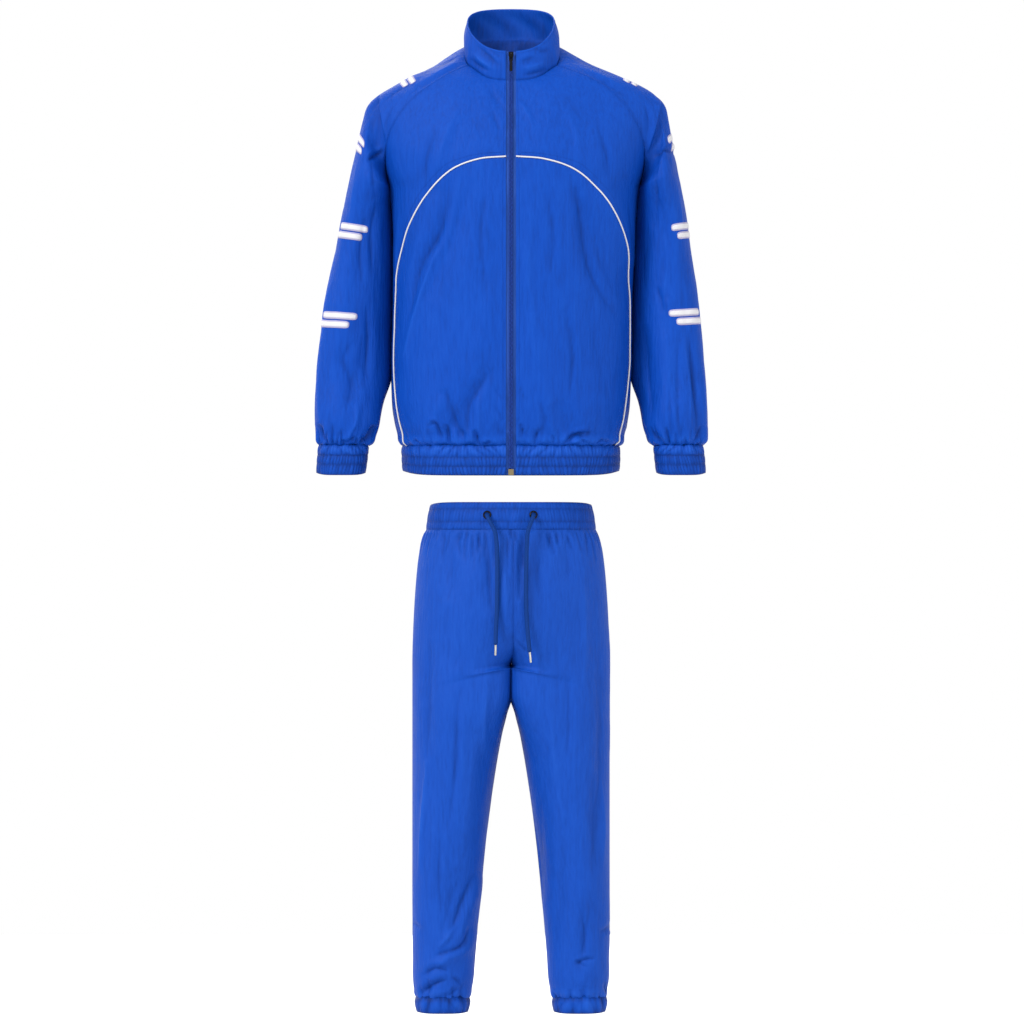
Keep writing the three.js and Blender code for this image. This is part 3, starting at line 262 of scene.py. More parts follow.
def woven(name, shade):
    finish = Finish(name, IOR=1.3, Specular_IOR_Level=0.25)
    where = finish.place()
    ribs = finish.wave(where, 260.0, 0.6, "Z")
    grain = finish.noise(where, 900, 2)
    deep = [v * 0.72 for v in shade]
    share = ribs * 0.5 + grain * 0.3
    finish.give("Base Color", finish.mix(share, color(*shade, CLOTH_LEVEL), color(*deep, CLOTH_LEVEL)))
    finish.give("Roughness", 0.6 + grain * 0.15)
    finish.bump(ribs + grain * 0.4, 0.4, 0.0004)
    return finish.material


def braided(name, shade):
    finish = Finish(name, IOR=1.3, Specular_IOR_Level=0.25)
    flat = finish.node("ShaderNodeTexCoord", out="UV")
    strands = []
    for turn in (0.62, -0.62):
        turned = finish.node("ShaderNodeMapping", {"Vector": flat, "Rotation": (0, 0, turn)})
        strands.append(finish.wave(turned, 140.0, 0.2, "Y"))
    relief = finish.node("ShaderNodeMath", {0: strands[0], 1: strands[1]}, operation="MAXIMUM")
    grain = finish.noise(finish.place(), 1500, 2)
    deep = [v * 0.6 for v in shade]
    share = relief * 0.8 + grain * 0.2
    finish.give("Base Color", finish.mix(share, color(*deep, CLOTH_LEVEL), color(*shade, CLOTH_LEVEL)))
    finish.give("Roughness", 0.55 + grain * 0.2)
    finish.bump(relief + grain * 0.2, 0.7, 0.0007)
    return finish.material


def metal(name, shade, shine, metallic):
    finish = Finish(name, Metallic=metallic, IOR=1.3, Specular_IOR_Level=0.4)
    where = finish.place()
    wear = finish.noise(where, 500, 3)
    slow = finish.noise(where, 90, 2)
    worn = [v * 0.8 for v in shade]
    share = wear * 0.5 + slow * 0.3
    finish.give("Base Color", finish.mix(share, color(*shade, METAL_LEVEL), color(*worn, METAL_LEVEL)))
    finish.give("Roughness", shine + wear * 0.14)
    finish.bump(wear, 0.12, 0.0002)
    return finish.material


def make_floor_material():
    finish = Finish("floor_paper", Specular_IOR_Level=0.1, Roughness=0.9)
    grain = finish.noise(finish.place(), 40, 2)
    finish.give("Base Color", finish.mix(grain, color(226, 226, 227), color(229, 229, 229)))
    return finish.material


LOOKS = {
    # each nylon: its own colour, a dark stop for darker tone and painted crease shade, a light stop for
    # lighter tone and painted ridge highlight
    "jacket_cloth": nylon("jacket_nylon", (6, 80, 198), (2, 58, 152), (20, 94, 216)),
    "trouser_cloth": nylon("trouser_nylon", (18, 83, 198), (6, 62, 158), (30, 96, 214)),
    "gathered_bands": nylon("band_nylon", (8, 77, 190), (2, 48, 128), (26, 94, 214), 0.52, 1.2),
    "white_satin": satin("white_satin", (246, 245, 250)),
    "lilac_edge": satin("lilac_edge", (196, 190, 226)),
    # the tape is lighter than its own colour: painted light for where the placket edges catch the light
    "zip_tape": woven("zip_tape_weave_painted_light", (58, 112, 232)),
    "zip_coil": metal("zip_coil_nylon", (36, 84, 196), 0.5, 0.0),
    # a dark sheet behind the zip teeth: painted shade in the gap of the chain
    "zip_gap_shade": woven("zip_gap_shade_weave", (4, 32, 104)),
    "drawcord": braided("cord_braid", (4, 70, 164)),
    "cord_tip": metal("tip_steel", (222, 220, 214), 0.22, 1.0),
    "black_metal": metal("black_lacquer", (15, 15, 19), 0.25, 0.2),
    "zip_box": metal("dull_brass", (150, 136, 104), 0.35, 0.7),
    "thread": satin("blue_thread", (8, 66, 172)),
}


def finished(obj, look, nodes=()):
    """Gives a piece its material, puts it under the suit's body, and hides the CAD nodes it stands for."""
    obj.data.materials.append(LOOKS[look])
    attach(obj, "suit")
    if nodes:
        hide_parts(*nodes)


# meshes
def object_from(bm, name):
    for face in bm.faces:
        face.smooth = True
    data = bpy.data.meshes.new(name)
    bm.to_mesh(data)
    bm.free()
    obj = bpy.data.objects.new(name, data)
    bpy.context.scene.collection.objects.link(obj)
    return obj


def laid_grid(name, columns, rows, place, closed=False, capped=False, shell=0.0, uv_size=None):
    """A grid laid on a surface. At shares s and t, place gives the points in millimetres, the outward
    ways and, on cloth, how far each point is in a trough (-1) or on a ridge (1)."""
    bm = bmesh.new()
    bmesh.ops.create_grid(bm, x_segments=columns, y_segments=rows, size=0.5, calc_uvs=False)
    spots = np.array([v.co for v in bm.verts])
    s = np.clip(spots[:, 0] + 0.5, 0, 1)
    t = np.clip(0.5 - spots[:, 1], 0, 1)
    points, ways, *fold = place(s, t)
    points = points * MM
    # the fold attribute carries painted shade in troughs and painted highlight on ridges into the colour
    mark = bm.verts.layers.float.new("fold")
    layer = bm.loops.layers.uv.new("UVMap") if uv_size else None
    if layer:
        for face in bm.faces:
            for loop in face.loops:
                k = loop.vert.index
                loop[layer].uv = (s[k] * uv_size[0], t[k] * uv_size[1])
    for v, p, shade in zip(bm.verts, points, fold[0] if fold else np.zeros(len(points))):
        v.co = p
        v[mark] = shade
    bm.normal_update()
    facing = sum(f.normal.dot(Vector(ways[f.verts[0].index])) for f in bm.faces)
    if facing < 0:
        bmesh.ops.reverse_faces(bm, faces=bm.faces)
    if closed:
        bmesh.ops.remove_doubles(bm, verts=bm.verts, dist=1e-6)
    if capped:
        bmesh.ops.holes_fill(bm, edges=[e for e in bm.edges if e.is_boundary])
    obj = object_from(bm, name)
    if shell:
        wall = obj.modifiers.new("wall", "SOLIDIFY")
        wall.thickness = shell * MM
        wall.offset = -1
    return obj


def tube(name, path, radius, sides, uv_size=None):
    """A round cord along a path, with closed ends."""
    along = unit(np.gradient(path, axis=0))
    across = [np.cross(along[0], (1, 0.01, 0.02))]
    for way in along:
        turned = across[-1] - way * (across[-1] @ way)
        across.append(turned / np.linalg.norm(turned))
    across = np.array(across[1:])
    up = np.cross(along, across)
    rows = len(path) - 1

    def place(s, t):
        k = np.rint(t * rows).astype(int)
        angle = 2 * np.pi * s
        way = across[k] * np.cos(angle)[:, None] + up[k] * np.sin(angle)[:, None]
        return path[k] + radius * way, way

    return laid_grid(name, sides, rows, place, closed=True, capped=True, uv_size=uv_size)


def bead(bm, middle, along, axes, size):
    """A small bead of the given half sizes, its first named axis along a way."""
    turn = Vector(along).to_track_quat(*axes).to_matrix().to_4x4()
    shape = Matrix.Diagonal((*[v * MM for v in size], 1))
    where = Matrix.Translation(Vector(middle) * MM) @ turn @ shape
    bmesh.ops.create_icosphere(bm, subdivisions=1, radius=1, matrix=where)


STITCH_GAP = 1.0
STITCH_RISE = 0.2


def stitches(name, points, ways, length=2.2, radius=0.32):
    """A row of thread stitches along points on a cloth, sunk at their ends."""
    reach = reach_along(points)
    bm = bmesh.new()
    for start in np.arange(STITCH_GAP, reach[-1] - length, length + STITCH_GAP):
        begin, end = read_path(points, reach, np.array([start, start + length]))
        out = read_path(ways, reach, start)
        bead(bm, (begin + end) / 2 + out * STITCH_RISE, end - begin, "XZ", (length / 2, radius, radius))
    finished(object_from(bm, name), "thread")


def lathe(name, centres, sizes, way, sides):
    """A turned piece: rings of the given sizes along a straight line."""
    side_way = np.cross(way, (1, 0, 0.1))
    side_way /= np.linalg.norm(side_way)
    up = np.cross(way, side_way)
    rows = len(centres) - 1

    def place(s, t):
        k = np.rint(t * rows).astype(int)
        angle = 2 * np.pi * s
        out = side_way * np.cos(angle)[:, None] + up * np.sin(angle)[:, None]
        return centres[k] + sizes[k][:, None] * out, out

    return laid_grid(name, sides, rows, place, closed=True, capped=True)


# drawcords
CORD_ROUTES = {
    "right": [
        (-43, -100.4, -804),
        (-43, -105, -804.5),
        (-42, -111.5, -807.5),
        (-38, -117, -816),
        (-29, -122.5, -834),
        (-25.4, -124, -860),
        (-24.6, -124.4, -892),
        (-24.7, -124.6, -935),
        (-25.6, -124.4, -980),
        (-27, -124, -1010),
        (-27.6, -123.6, -1037),
    ],
    "left": [
        (40.5, -100.6, -804),
        (40.5, -105, -804.5),
        (39.8, -111.5, -807.5),
        (36.5, -117, -816),
        (30.5, -122.5, -834),
        (28.4, -124, -860),
        (27.6, -124.4, -892),
        (27, -124.6, -935),
        (27.8, -124.4, -980),
        (30, -124, -1015),
        (33.6, -123.4, -1050),
    ],
}
CORD_RADIUS = 3.75
BRAID_ROUND = 0.0245
# the metal tip: how far along it, and its radius there
TIP_PROFILE = np.array(
    [(0.1, 1.0), (0.4, 1.85), (1.2, 2.1), (4.0, 2.1), (4.6, 1.92)]
    + [(5.2, 2.1), (17.8, 2.1), (19.2, 1.9), (20.0, 1.2)]
)


def make_cord(side_name):
    """One free end of the drawstring, out of its eyelet and down, with its metal tip."""
    route = smooth_path(CORD_ROUTES[side_name], 10)
    length = path_length(route)
    steps = evenly(route, 110)
    way = steps[-1] - steps[-2]
    way /= np.linalg.norm(way)
    cord = tube(f"drawcord_{side_name}_braid", steps, CORD_RADIUS, 20, uv_size=(BRAID_ROUND, length * MM))
    finished(cord, "drawcord", [f"drawcord_{side_name}"])
    tip_path = steps[-1] + way * TIP_PROFILE[:, :1]
    tip = lathe(f"cord_tip_{side_name}_metal", tip_path, TIP_PROFILE[:, 1], way, 20)
    finished(tip, "cord_tip", [f"cord_tip_{side_name}"])


# the camera and the drawcords are made before anything else
make_camera()
for side_name in SIDES:
    make_cord(side_name)


# tables of the cut
class Sizes:
    """Rows of named sizes, read as a smooth curve at any row position."""

    def __init__(self, names, *rows):
        self.names = names.split()
        self.rows = np.array(rows, float)
        self.step = np.diff(self.rows[:, 0])

    def read(self, at, name):
        value = self.rows[:, self.names.index(name)]
        rise = np.diff(value) / self.step
        before, after = self.step[:-1], self.step[1:]
        inner = (rise[:-1] * after + rise[1:] * before) / (before + after)
        slope = np.concatenate([rise[:1], inner, rise[-1:]])
        i = np.clip(np.searchsorted(self.rows[:, 0], at) - 1, 0, len(value) - 2)
        span = self.step[i]
        t = np.clip((at - self.rows[i, 0]) / span, 0, 1)
        keep = (1 + 2 * t) * (1 - t) ** 2
        curve = slope[i] * t * (1 - t) ** 2 - slope[i + 1] * t * t * (1 - t)
        return value[i] * keep + value[i + 1] * (1 - keep) + span * curve

    def point(self, at, x="x", y="y", z="z"):
        return np.stack([self.read(at, x), self.read(at, y), self.read(at, z)], -1)


CENTRE = Sizes(
    "at frontY frontZ frontPull backY backZ backPull",
    (0, -80, -22, 44, 66, 54, 36),
    (1, -92, -45, 62, 82, 30, 58),
    (2, -104, -70, 80, 96, 2, 76),
    (3, -114, -95, 95, 107, -28, 92),
    (4, -122, -121, 108, 115, -60, 106),
    (5, -129, -148, 118, 121, -94, 116),
    (6, -134, -174, 126, 125, -130, 124),
    (7, -137, -200, 132, 127, -168, 130),
    (8, -140, -226, 138, 128, -212, 136),
    (10, -143, -300, 140, 128, -300, 138),
    (13, -144, -420, 140, 125, -420, 138),
    (16, -142, -540, 138, 123, -540, 136),
    (18, -138, -620, 134, 125, -620, 132),
    (19, -132, -655, 130, 125, -655, 128),
    (20, -123, -679.5, 124, 116, -679.5, 122),
)
FRONT_SEAM = Sizes(
    "at x y z inX inY inZ outX outY outZ",
    (0, 80, -42, 6, 24, 22, 14, 8, 18, 12),
    (1, 123, -58, -12, 34, 26, 18, 12, 22, 12),
    (2, 161, -62, -35, 46, 30, 22, 20, 26, 16),
    (3, 189, -62, -58, 54, 32, 24, 24, 30, 18),
    (4, 209, -62, -83, 54, 38, 22, 28, 32, 18),
    (5, 224, -56, -110, 48, 44, 18, 30, 22, 14),
    (6, 232, -44, -142, 32, 52, 8, 30, 0, 8),
    (7, 232, -24, -178, 12, 62, 2, 20, -52, 2),
    (8, 225, 4, -212, 0, 82, 0, 0, -104, 0),
)
BACK_SEAM = Sizes(
    "at x y z inX inY inZ outX outY outZ",
    (0, 64, 46, 49, 24, -12, -3, 16, -16, -6),
    (1, 108, 66, 22, 36, -18, -8, 14, -22, -4),
    (2, 148, 78, -12, 46, -22, -12, 18, -28, -2),
    (3, 178, 82, -46, 52, -26, -12, 22, -32, 4),
    (4, 201, 80, -80, 52, -32, -10, 26, -34, 10),
    (5, 218, 72, -114, 46, -38, -6, 28, -28, 14),
    (6, 228, 56, -148, 32, -46, -2, 26, -4, 12),
    (7, 230, 32, -182, 12, -58, 0, 14, 46, 6),
    (8, 225, 4, -212, 0, -78, 0, 0, 101, 0),
)
SIDE = Sizes(
    "at x y z frontRun backRun",
    (8, 225, 4, -212, 82, 78),
    (10, 218, 4, -300, 88, 82),
    (13, 216, 4, -420, 90, 82),
    (16, 216, 4, -540, 88, 80),
    (18, 213, 3, -620, 86, 78),
    (19, 206, 3, -655, 82, 76),
    (20, 196, 2, -679.5, 76, 72),
)
RIDGE = Sizes(
    "at x y z run tilt",
    (0, 86, 0, 36, 16, 8),
    (1, 128, 3, 13, 26, 5),
    (2, 180, 6, -9, 34, 2),
    (3, 221, 7, -30, 40, 0),
    (4, 250, 8, -48, 46, 0),
    (5, 268, 9, -66, 54, 0),
    (6, 276, 10, -92, 68, 0),
    (7, 285, 10, -136, 86, 0),
    (8, 295, 10, -185, 104, 0),
    (10, 308, 10, -250, 106, 0),
    (12, 319, 8, -325, 106, 0),
    (14, 332, 4, -400, 103, 0),
    (16, 343, -3, -480, 98, 0),
    (18, 350, -10, -560, 90, 0),
    (20, 354, -14, -625, 82, 0),
    (21, 353, -15, -655, 74, 0),
    (22, 347, -16, -678.5, 56, 0),
)
UNDER = Sizes(
    "at x y z frontRun backRun",
    (8, 225, 4, -212, 104, 101),
    (9, 224, 20, -239, 105, 90),
    (10, 219, 36, -268, 106, 78),
    (12, 213.5, 44, -338, 106, 72),
    (14, 212.5, 44, -410, 104, 72),
    (16, 212.5, 38, -486, 100, 74),
    (18, 216.5, 24, -563, 92, 78),
    (19, 229, 4, -598, 86, 80),
    (20, 238, -10, -627, 82, 80),
    (21, 246, -16, -655, 74, 74),
    (22, 256, -18, -678.5, 56, 54),
)
ARCH = [
    (ZIP_HALF, -160),
    (60, -165),
    (110, -183),
    (150, -219),
    (180, -266),
    (200, -325),
    (209, -400),
    (211, -480),
    (210, -560),
    (203, -625),
    (197, -652),
    (188, -679.5),
]
LEG_SIDE = Sizes(
    "at x y z frontRun backRun",
    (0, 154, 2, -831, 56, 60),
    (1, 162, 2, -855, 60, 66),
    (2, 168, 2, -890, 64, 72),
    (3, 172, 2, -932, 68, 78),
    (4, 175, 2, -978, 72, 82),
    (5, 177, 2, -1024, 78, 88),
    (6, 178, 2, -1062, 88, 98),
    (7, 178, 2, -1094, 104, 114),
    (8, 178, 2, -1124, 124, 134),
    (9, 178, 2, -1165, 132, 142),
    (10, 178, 2, -1210, 129, 141),
    (12, 178, 1, -1303, 118, 132),
    (14, 178, 0, -1400, 107, 117),
    (16, 178, 0, -1500, 96, 108),
    (18, 177, 2, -1590, 86, 94),
    (20, 176, 4, -1650, 78, 84),
    (21, 171, 4, -1678, 66, 68),
)
LEG_FRONT = Sizes(
    "at x y z outX outY outZ",
    (0, 0.2, -104, -831, 84, 0, 0),
    (1, 0.2, -110, -855, 88, 0, 0),
    (2, 0.2, -115, -890, 92, 0, 0),
    (3, 0.2, -119, -930, 94, 0, 0),
    (4, 0.2, -119, -975, 92, -2, 0),
    (5, 0.2, -110, -1018, 84, -10, -4),
    (6, 0.2, -88, -1050, 56, -40, -8),
    (7, 0.4, -48, -1071, 20, -92, -12),
    (8, 2, 4, -1080, 0, -136, 0),
)
LEG_BACK = Sizes(
    "at x y z outX outY outZ",
    (0, 0.2, 112, -831, 80, 0, 0),
    (1, 0.2, 120, -855, 86, 0, 0),
    (2, 0.2, 128, -890, 92, 0, 0),
    (3, 0.2, 136, -930, 98, 0, 0),
    (4, 0.2, 140, -975, 98, 2, 0),
    (5, 0.2, 134, -1018, 88, 12, -4),
    (6, 0.2, 108, -1050, 58, 46, -8),
    (7, 0.4, 58, -1071, 20, 100, -12),
    (8, 2, 4, -1080, 0, 146, 0),
)
INSEAM = Sizes(
    "at x y z frontRun backRun",
    (8, 2, 4, -1080, 136, 146),
    (9, 5, 4, -1150, 134, 146),
    (10, 16, 4, -1200, 130, 143),
    (12, 33, 4, -1300, 118, 132),
    (14, 46, 3, -1400, 106, 117),
    (16, 56, 3, -1500, 96, 108),
    (18, 64, 4, -1590, 86, 94),
    (20, 69, 4, -1650, 78, 84),
    (21, 76, 4, -1678, 66, 68),
)
SWAY = Sizes(
    "z shift",
    (-540, 0),
    (-400, 3),
    (-300, 5),
    (-200, 6.5),
    (-100, 8),
    (-50, 9.5),
    (-22, 11),
    (0, 8),
    (40, 3),
)
SWAY_REACH = 190


def sway(points):
    """How far the slight lean of the shoulders shifts places, and less near the middle."""
    return SWAY.read(points[:, 2], "shift") * smooth(points[:, 0] / SWAY_REACH)


# creases, listed one by one
class Creases:
    """Soft troughs (below zero) and ridges: width, lift, then the places that each passes through."""

    def __init__(self, *rows):
        self.rows = [(width, lift, smooth_path(places)) for width, lift, *places in rows]

    def lift(self, x, z):
        """How far each place is lifted, and how much of that is in narrow creases."""
        total = np.zeros(len(x))
        narrow = np.zeros(len(x))
        spots = np.stack([x, z], -1)
        for width, lift, path in self.rows:
            low = path.min(0) - 3.2 * width
            high = path.max(0) + 3.2 * width
            near = np.flatnonzero(np.all((spots > low) & (spots < high), axis=1))
            if not len(near):
                continue
            step = np.diff(path, axis=0)
            length = np.linalg.norm(step, axis=1)
            away = spots[near][:, None] - path[:-1]
            share = np.clip((away * step).sum(-1) / length**2, 0, 1)
            gap = away - share[..., None] * step
            distance = np.linalg.norm(gap, axis=-1)
            k = distance.argmin(1)
            n = np.arange(len(near))
            cross = step[k, 0] * away[n, k, 1] - step[k, 1] * away[n, k, 0]
            off = distance[n, k] * np.sign(cross)
            start = reach_along(path)
            along = (start[k] + share[n, k] * length[k]) / start[-1]
            fade = 1.5 * lift * np.sin(np.pi * np.clip(along, 0, 1)) ** 0.7
            crisp = np.exp(-(np.abs(off / (0.4 * width + 0.5)) ** 1.5))
            beside = 0.6 * np.exp(-((off / (1.4 * width)) ** 2))
            beyond = 0.35 * np.exp(-(((off - 2 * width) / (1.2 * width)) ** 2))
            total[near] += fade * (0.45 * crisp + (beside - beyond))
            narrow[near] += fade * crisp * min(1, 6 / width) ** 1.5
        return np.stack([total, narrow])


# Places are x and z in the front view; the right side of the picture is above zero.
JACKET_FRONT_CREASES = Creases(
    (22, -4, (110, -215), (150, -318), (190, -420)),
    (20, 3.5, (150, -205), (182, -282), (214, -360)),
    (24, -3, (130, -400), (180, -600)),
    (26, -3, (-70, -200), (-150, -420)),
    (18, 3, (-150, -230), (-196, -420)),
    (22, -4, (-60, -560), (-120, -672)),
    (18, 3, (-120, -590), (-160, -672)),
    (20, -3.5, (80, -600), (110, -674)),
    (26, 2.5, (-30, -380), (-90, -640)),
    (24, 2.5, (40, -440), (70, -660)),
    (8, -4, (-115, -200), (-131, -292), (-166, -356), (-184, -446)),
    (5, 2.6, (-138, -325), (-172, -430), (-197, -532)),
    (9, -4.2, (103, -192), (119, -250), (137, -356), (164, -412), (190, -448)),
    (6, -2.0, (58, -210), (74, -300), (70, -380)),
    (7, 2.0, (36, -250), (30, -360), (44, -480)),
    (5, -1.8, (-48, -230), (-56, -330), (-40, -420)),
    (6, -2.4, (96, -430), (112, -520), (104, -600)),
    (8, -3.6, (-118, -575), (-104, -628), (-86, -672)),
    (8, -3.6, (-36, -540), (-76, -610), (-82, -662)),
    (5, 2.2, (-62, -590), (-58, -640), (-66, -672)),
    (5, -2.6, (118, -655), (130, -664), (146, -652)),
    (6, -2.2, (52, -600), (60, -640), (50, -676)),
    (4, -1.3, (-40, -30), (-28, -56), (-12, -74)),
    (4, -1.2, (-36, -78), (-24, -104), (-12, -118)),
    (4, 1.2, (14, -60), (30, -84), (40, -112)),
    (3, -1.2, (-32, -567), (-22, -590), (-12, -600)),
    (3, -1.2, (-30, -606), (-20, -626), (-12, -640)),
    (3, -1.1, (12, -560), (22, -590), (34, -606)),
    (3, -1.2, (12, -630), (20, -650), (32, -668)),
    (7, -2.2, (150, -110), (166, -160), (172, -205)),
    (7, -2.0, (-140, -112), (-158, -160), (-160, -215)),
    (9, 2.0, (-96, -74), (-122, -120), (-136, -190)),
    (9, 1.8, (92, -70), (112, -120), (120, -180)),
    (5, 1.6, (-206, -250), (-210, -330), (-206, -400)),
    (5, -1.6, (206, -240), (212, -320), (208, -400)),
)
JACKET_BACK_CREASES = Creases(
    (28, -4, (-150, -150), (-90, -480)),
    (28, -4, (150, -150), (100, -460)),
    (24, 3, (-40, -420), (-70, -672)),
    (26, -3, (60, -380), (50, -672)),
    (22, 3, (150, -480), (130, -672)),
    (22, -3, (-160, -500), (-140, -672)),
    (9, -3.6, (-176, -150), (-150, -260), (-158, -380)),
    (8, -3.4, (170, -160), (148, -250), (154, -350)),
    (7, 2.4, (-120, -180), (-104, -290), (-112, -400)),
    (7, 2.2, (118, -200), (96, -320), (104, -430)),
    (8, -2.6, (-58, -120), (-30, -210), (-36, -330)),
    (7, -2.4, (40, -140), (26, -250), (34, -380)),
    (6, -2.2, (4, -60), (-8, -160), (2, -240)),
    (8, -3.4, (-110, -540), (-98, -610), (-112, -674)),
    (7, -3.0, (84, -560), (76, -620), (88, -676)),
    (6, 2.2, (20, -560), (12, -620), (18, -672)),
    (6, -2.4, (-30, -580), (-24, -630), (-34, -676)),
    (6, -2.2, (140, -580), (146, -630), (136, -674)),
    (5, -1.4, (-40, 30), (0, 20), (42, 32)),
    (5, 1.2, (-56, 6), (0, -6), (58, 8)),
)
SLEEVE_BROAD = [
    (24, -3, (-258, -190), (-288, -430)),
    (20, 2.5, (-306, -250), (-322, -560)),
    (24, -4, (262, -200), (280, -420)),
    (20, -2.5, (306, -330), (326, -600)),
]
SLEEVE_FRONT_CREASES = Creases(
    *SLEEVE_BROAD,
    (4, -3.8, (-346, -640), (-340, -662), (-326, -676)),
    (5, -4.2, (-248, -640), (-256, -664), (-272, -676)),
    (4, -3.4, (-300, -676), (-286, -668), (-276, -668)),
    (4, -3.6, (344, -642), (338, -662), (324, -676)),
    (5, -3.8, (252, -644), (262, -664), (280, -676)),
    (22, -3, (-264, -480), (-290, -664)),
    (22, 3, (276, -470), (296, -664)),
    (4, -4.2, (-268, -166), (-252, -158), (-226, -149)),
    (7, -1.8, (-259, -160), (-254, -200), (-248, -240)),
    (7, 1.8, (-284, -170), (-292, -240), (-300, -310)),
    (6, -2.0, (-246, -240), (-256, -300), (-252, -370)),
    (6, -1.8, (-268, -270), (-276, -330), (-270, -390)),
    (5, 1.8, (-318, -330), (-330, -400), (-338, -470)),
    (9, -3.0, (-286, -490), (-302, -527), (-287, -560), (-296, -622)),
    (6, 2.2, (-322, -380), (-336, -440), (-339, -481), (-347, -545), (-345, -655)),
    (6, -2.2, (-262, -420), (-258, -500), (-264, -580)),
    (6, -4.4, (-246, -640), (-257, -664), (-290, -688)),
    (5, -3.0, (-346, -640), (-336, -676)),
    (6, 2.0, (-276, -600), (-280, -640), (-300, -672)),
    (4.5, -3.0, (244, -158), (270, -147), (296, -154)),
    (8, -2.2, (252, -176), (256, -230), (250, -290)),
    (7, 1.8, (290, -190), (298, -250), (306, -310)),
    (5, -1.8, (259, -392), (266, -415), (272, -442)),
    (14, -4.2, (236, -460), (246, -560), (256, -650)),
    (7, -2.4, (301, -470), (299, -570), (303, -676)),
    (6, -2.8, (321, -470), (329, -545), (335, -617), (339, -676)),
    (5, 2.2, (311, -485), (323, -571), (324, -650)),
    (5, 1.8, (345, -530), (348, -600), (349, -668)),
    (5, -2.0, (288, -560), (286, -620), (290, -676)),
    (6, 1.6, (270, -300), (276, -350), (272, -410)),
)
SHOULDER_CREASES = Creases(
    (5, -1.8, (-90, 26), (-134, 6), (-182, -14)),
    (5, 1.4, (-88, 16), (-134, -6), (-186, -30)),
    (5, -1.6, (-92, 6), (-140, -20), (-190, -46)),
    (6, -1.4, (-186, -22), (-220, -44), (-240, -60)),
    (5, -1.4, (92, 26), (140, 4), (186, -16)),
    (5, 1.2, (96, 14), (144, -8), (196, -36)),
    (5, -1.5, (100, 2), (150, -24), (200, -52)),
    (5, -1.5, (232, -66), (240, -96), (236, -130)),
    (5, -1.4, (-222, -70), (-232, -96), (-228, -124)),
)
SLEEVE_BACK_CREASES = Creases(
    *SLEEVE_BROAD,
    (5, -3.6, (-290, -150), (-262, -164), (-236, -160)),
    (5, -3.4, (294, -158), (268, -168), (240, -160)),
    (8, -3.0, (-300, -380), (-276, -420), (-262, -470)),
    (8, -3.0, (306, -370), (286, -420), (266, -450)),
    (7, 2.2, (-310, -420), (-290, -470), (-280, -520)),
    (7, 2.2, (318, -420), (296, -460), (284, -510)),
    (8, -2.6, (-318, -480), (-330, -560), (-322, -650)),
    (8, -2.6, (316, -500), (326, -580), (318, -660)),
    (6, -3.0, (-262, -640), (-276, -664), (-300, -680)),
    (6, -2.8, (264, -636), (282, -664), (306, -680)),
    (7, 1.8, (-270, -240), (-280, -300), (-272, -360)),
    (7, 1.8, (276, -230), (284, -300), (278, -350)),
)
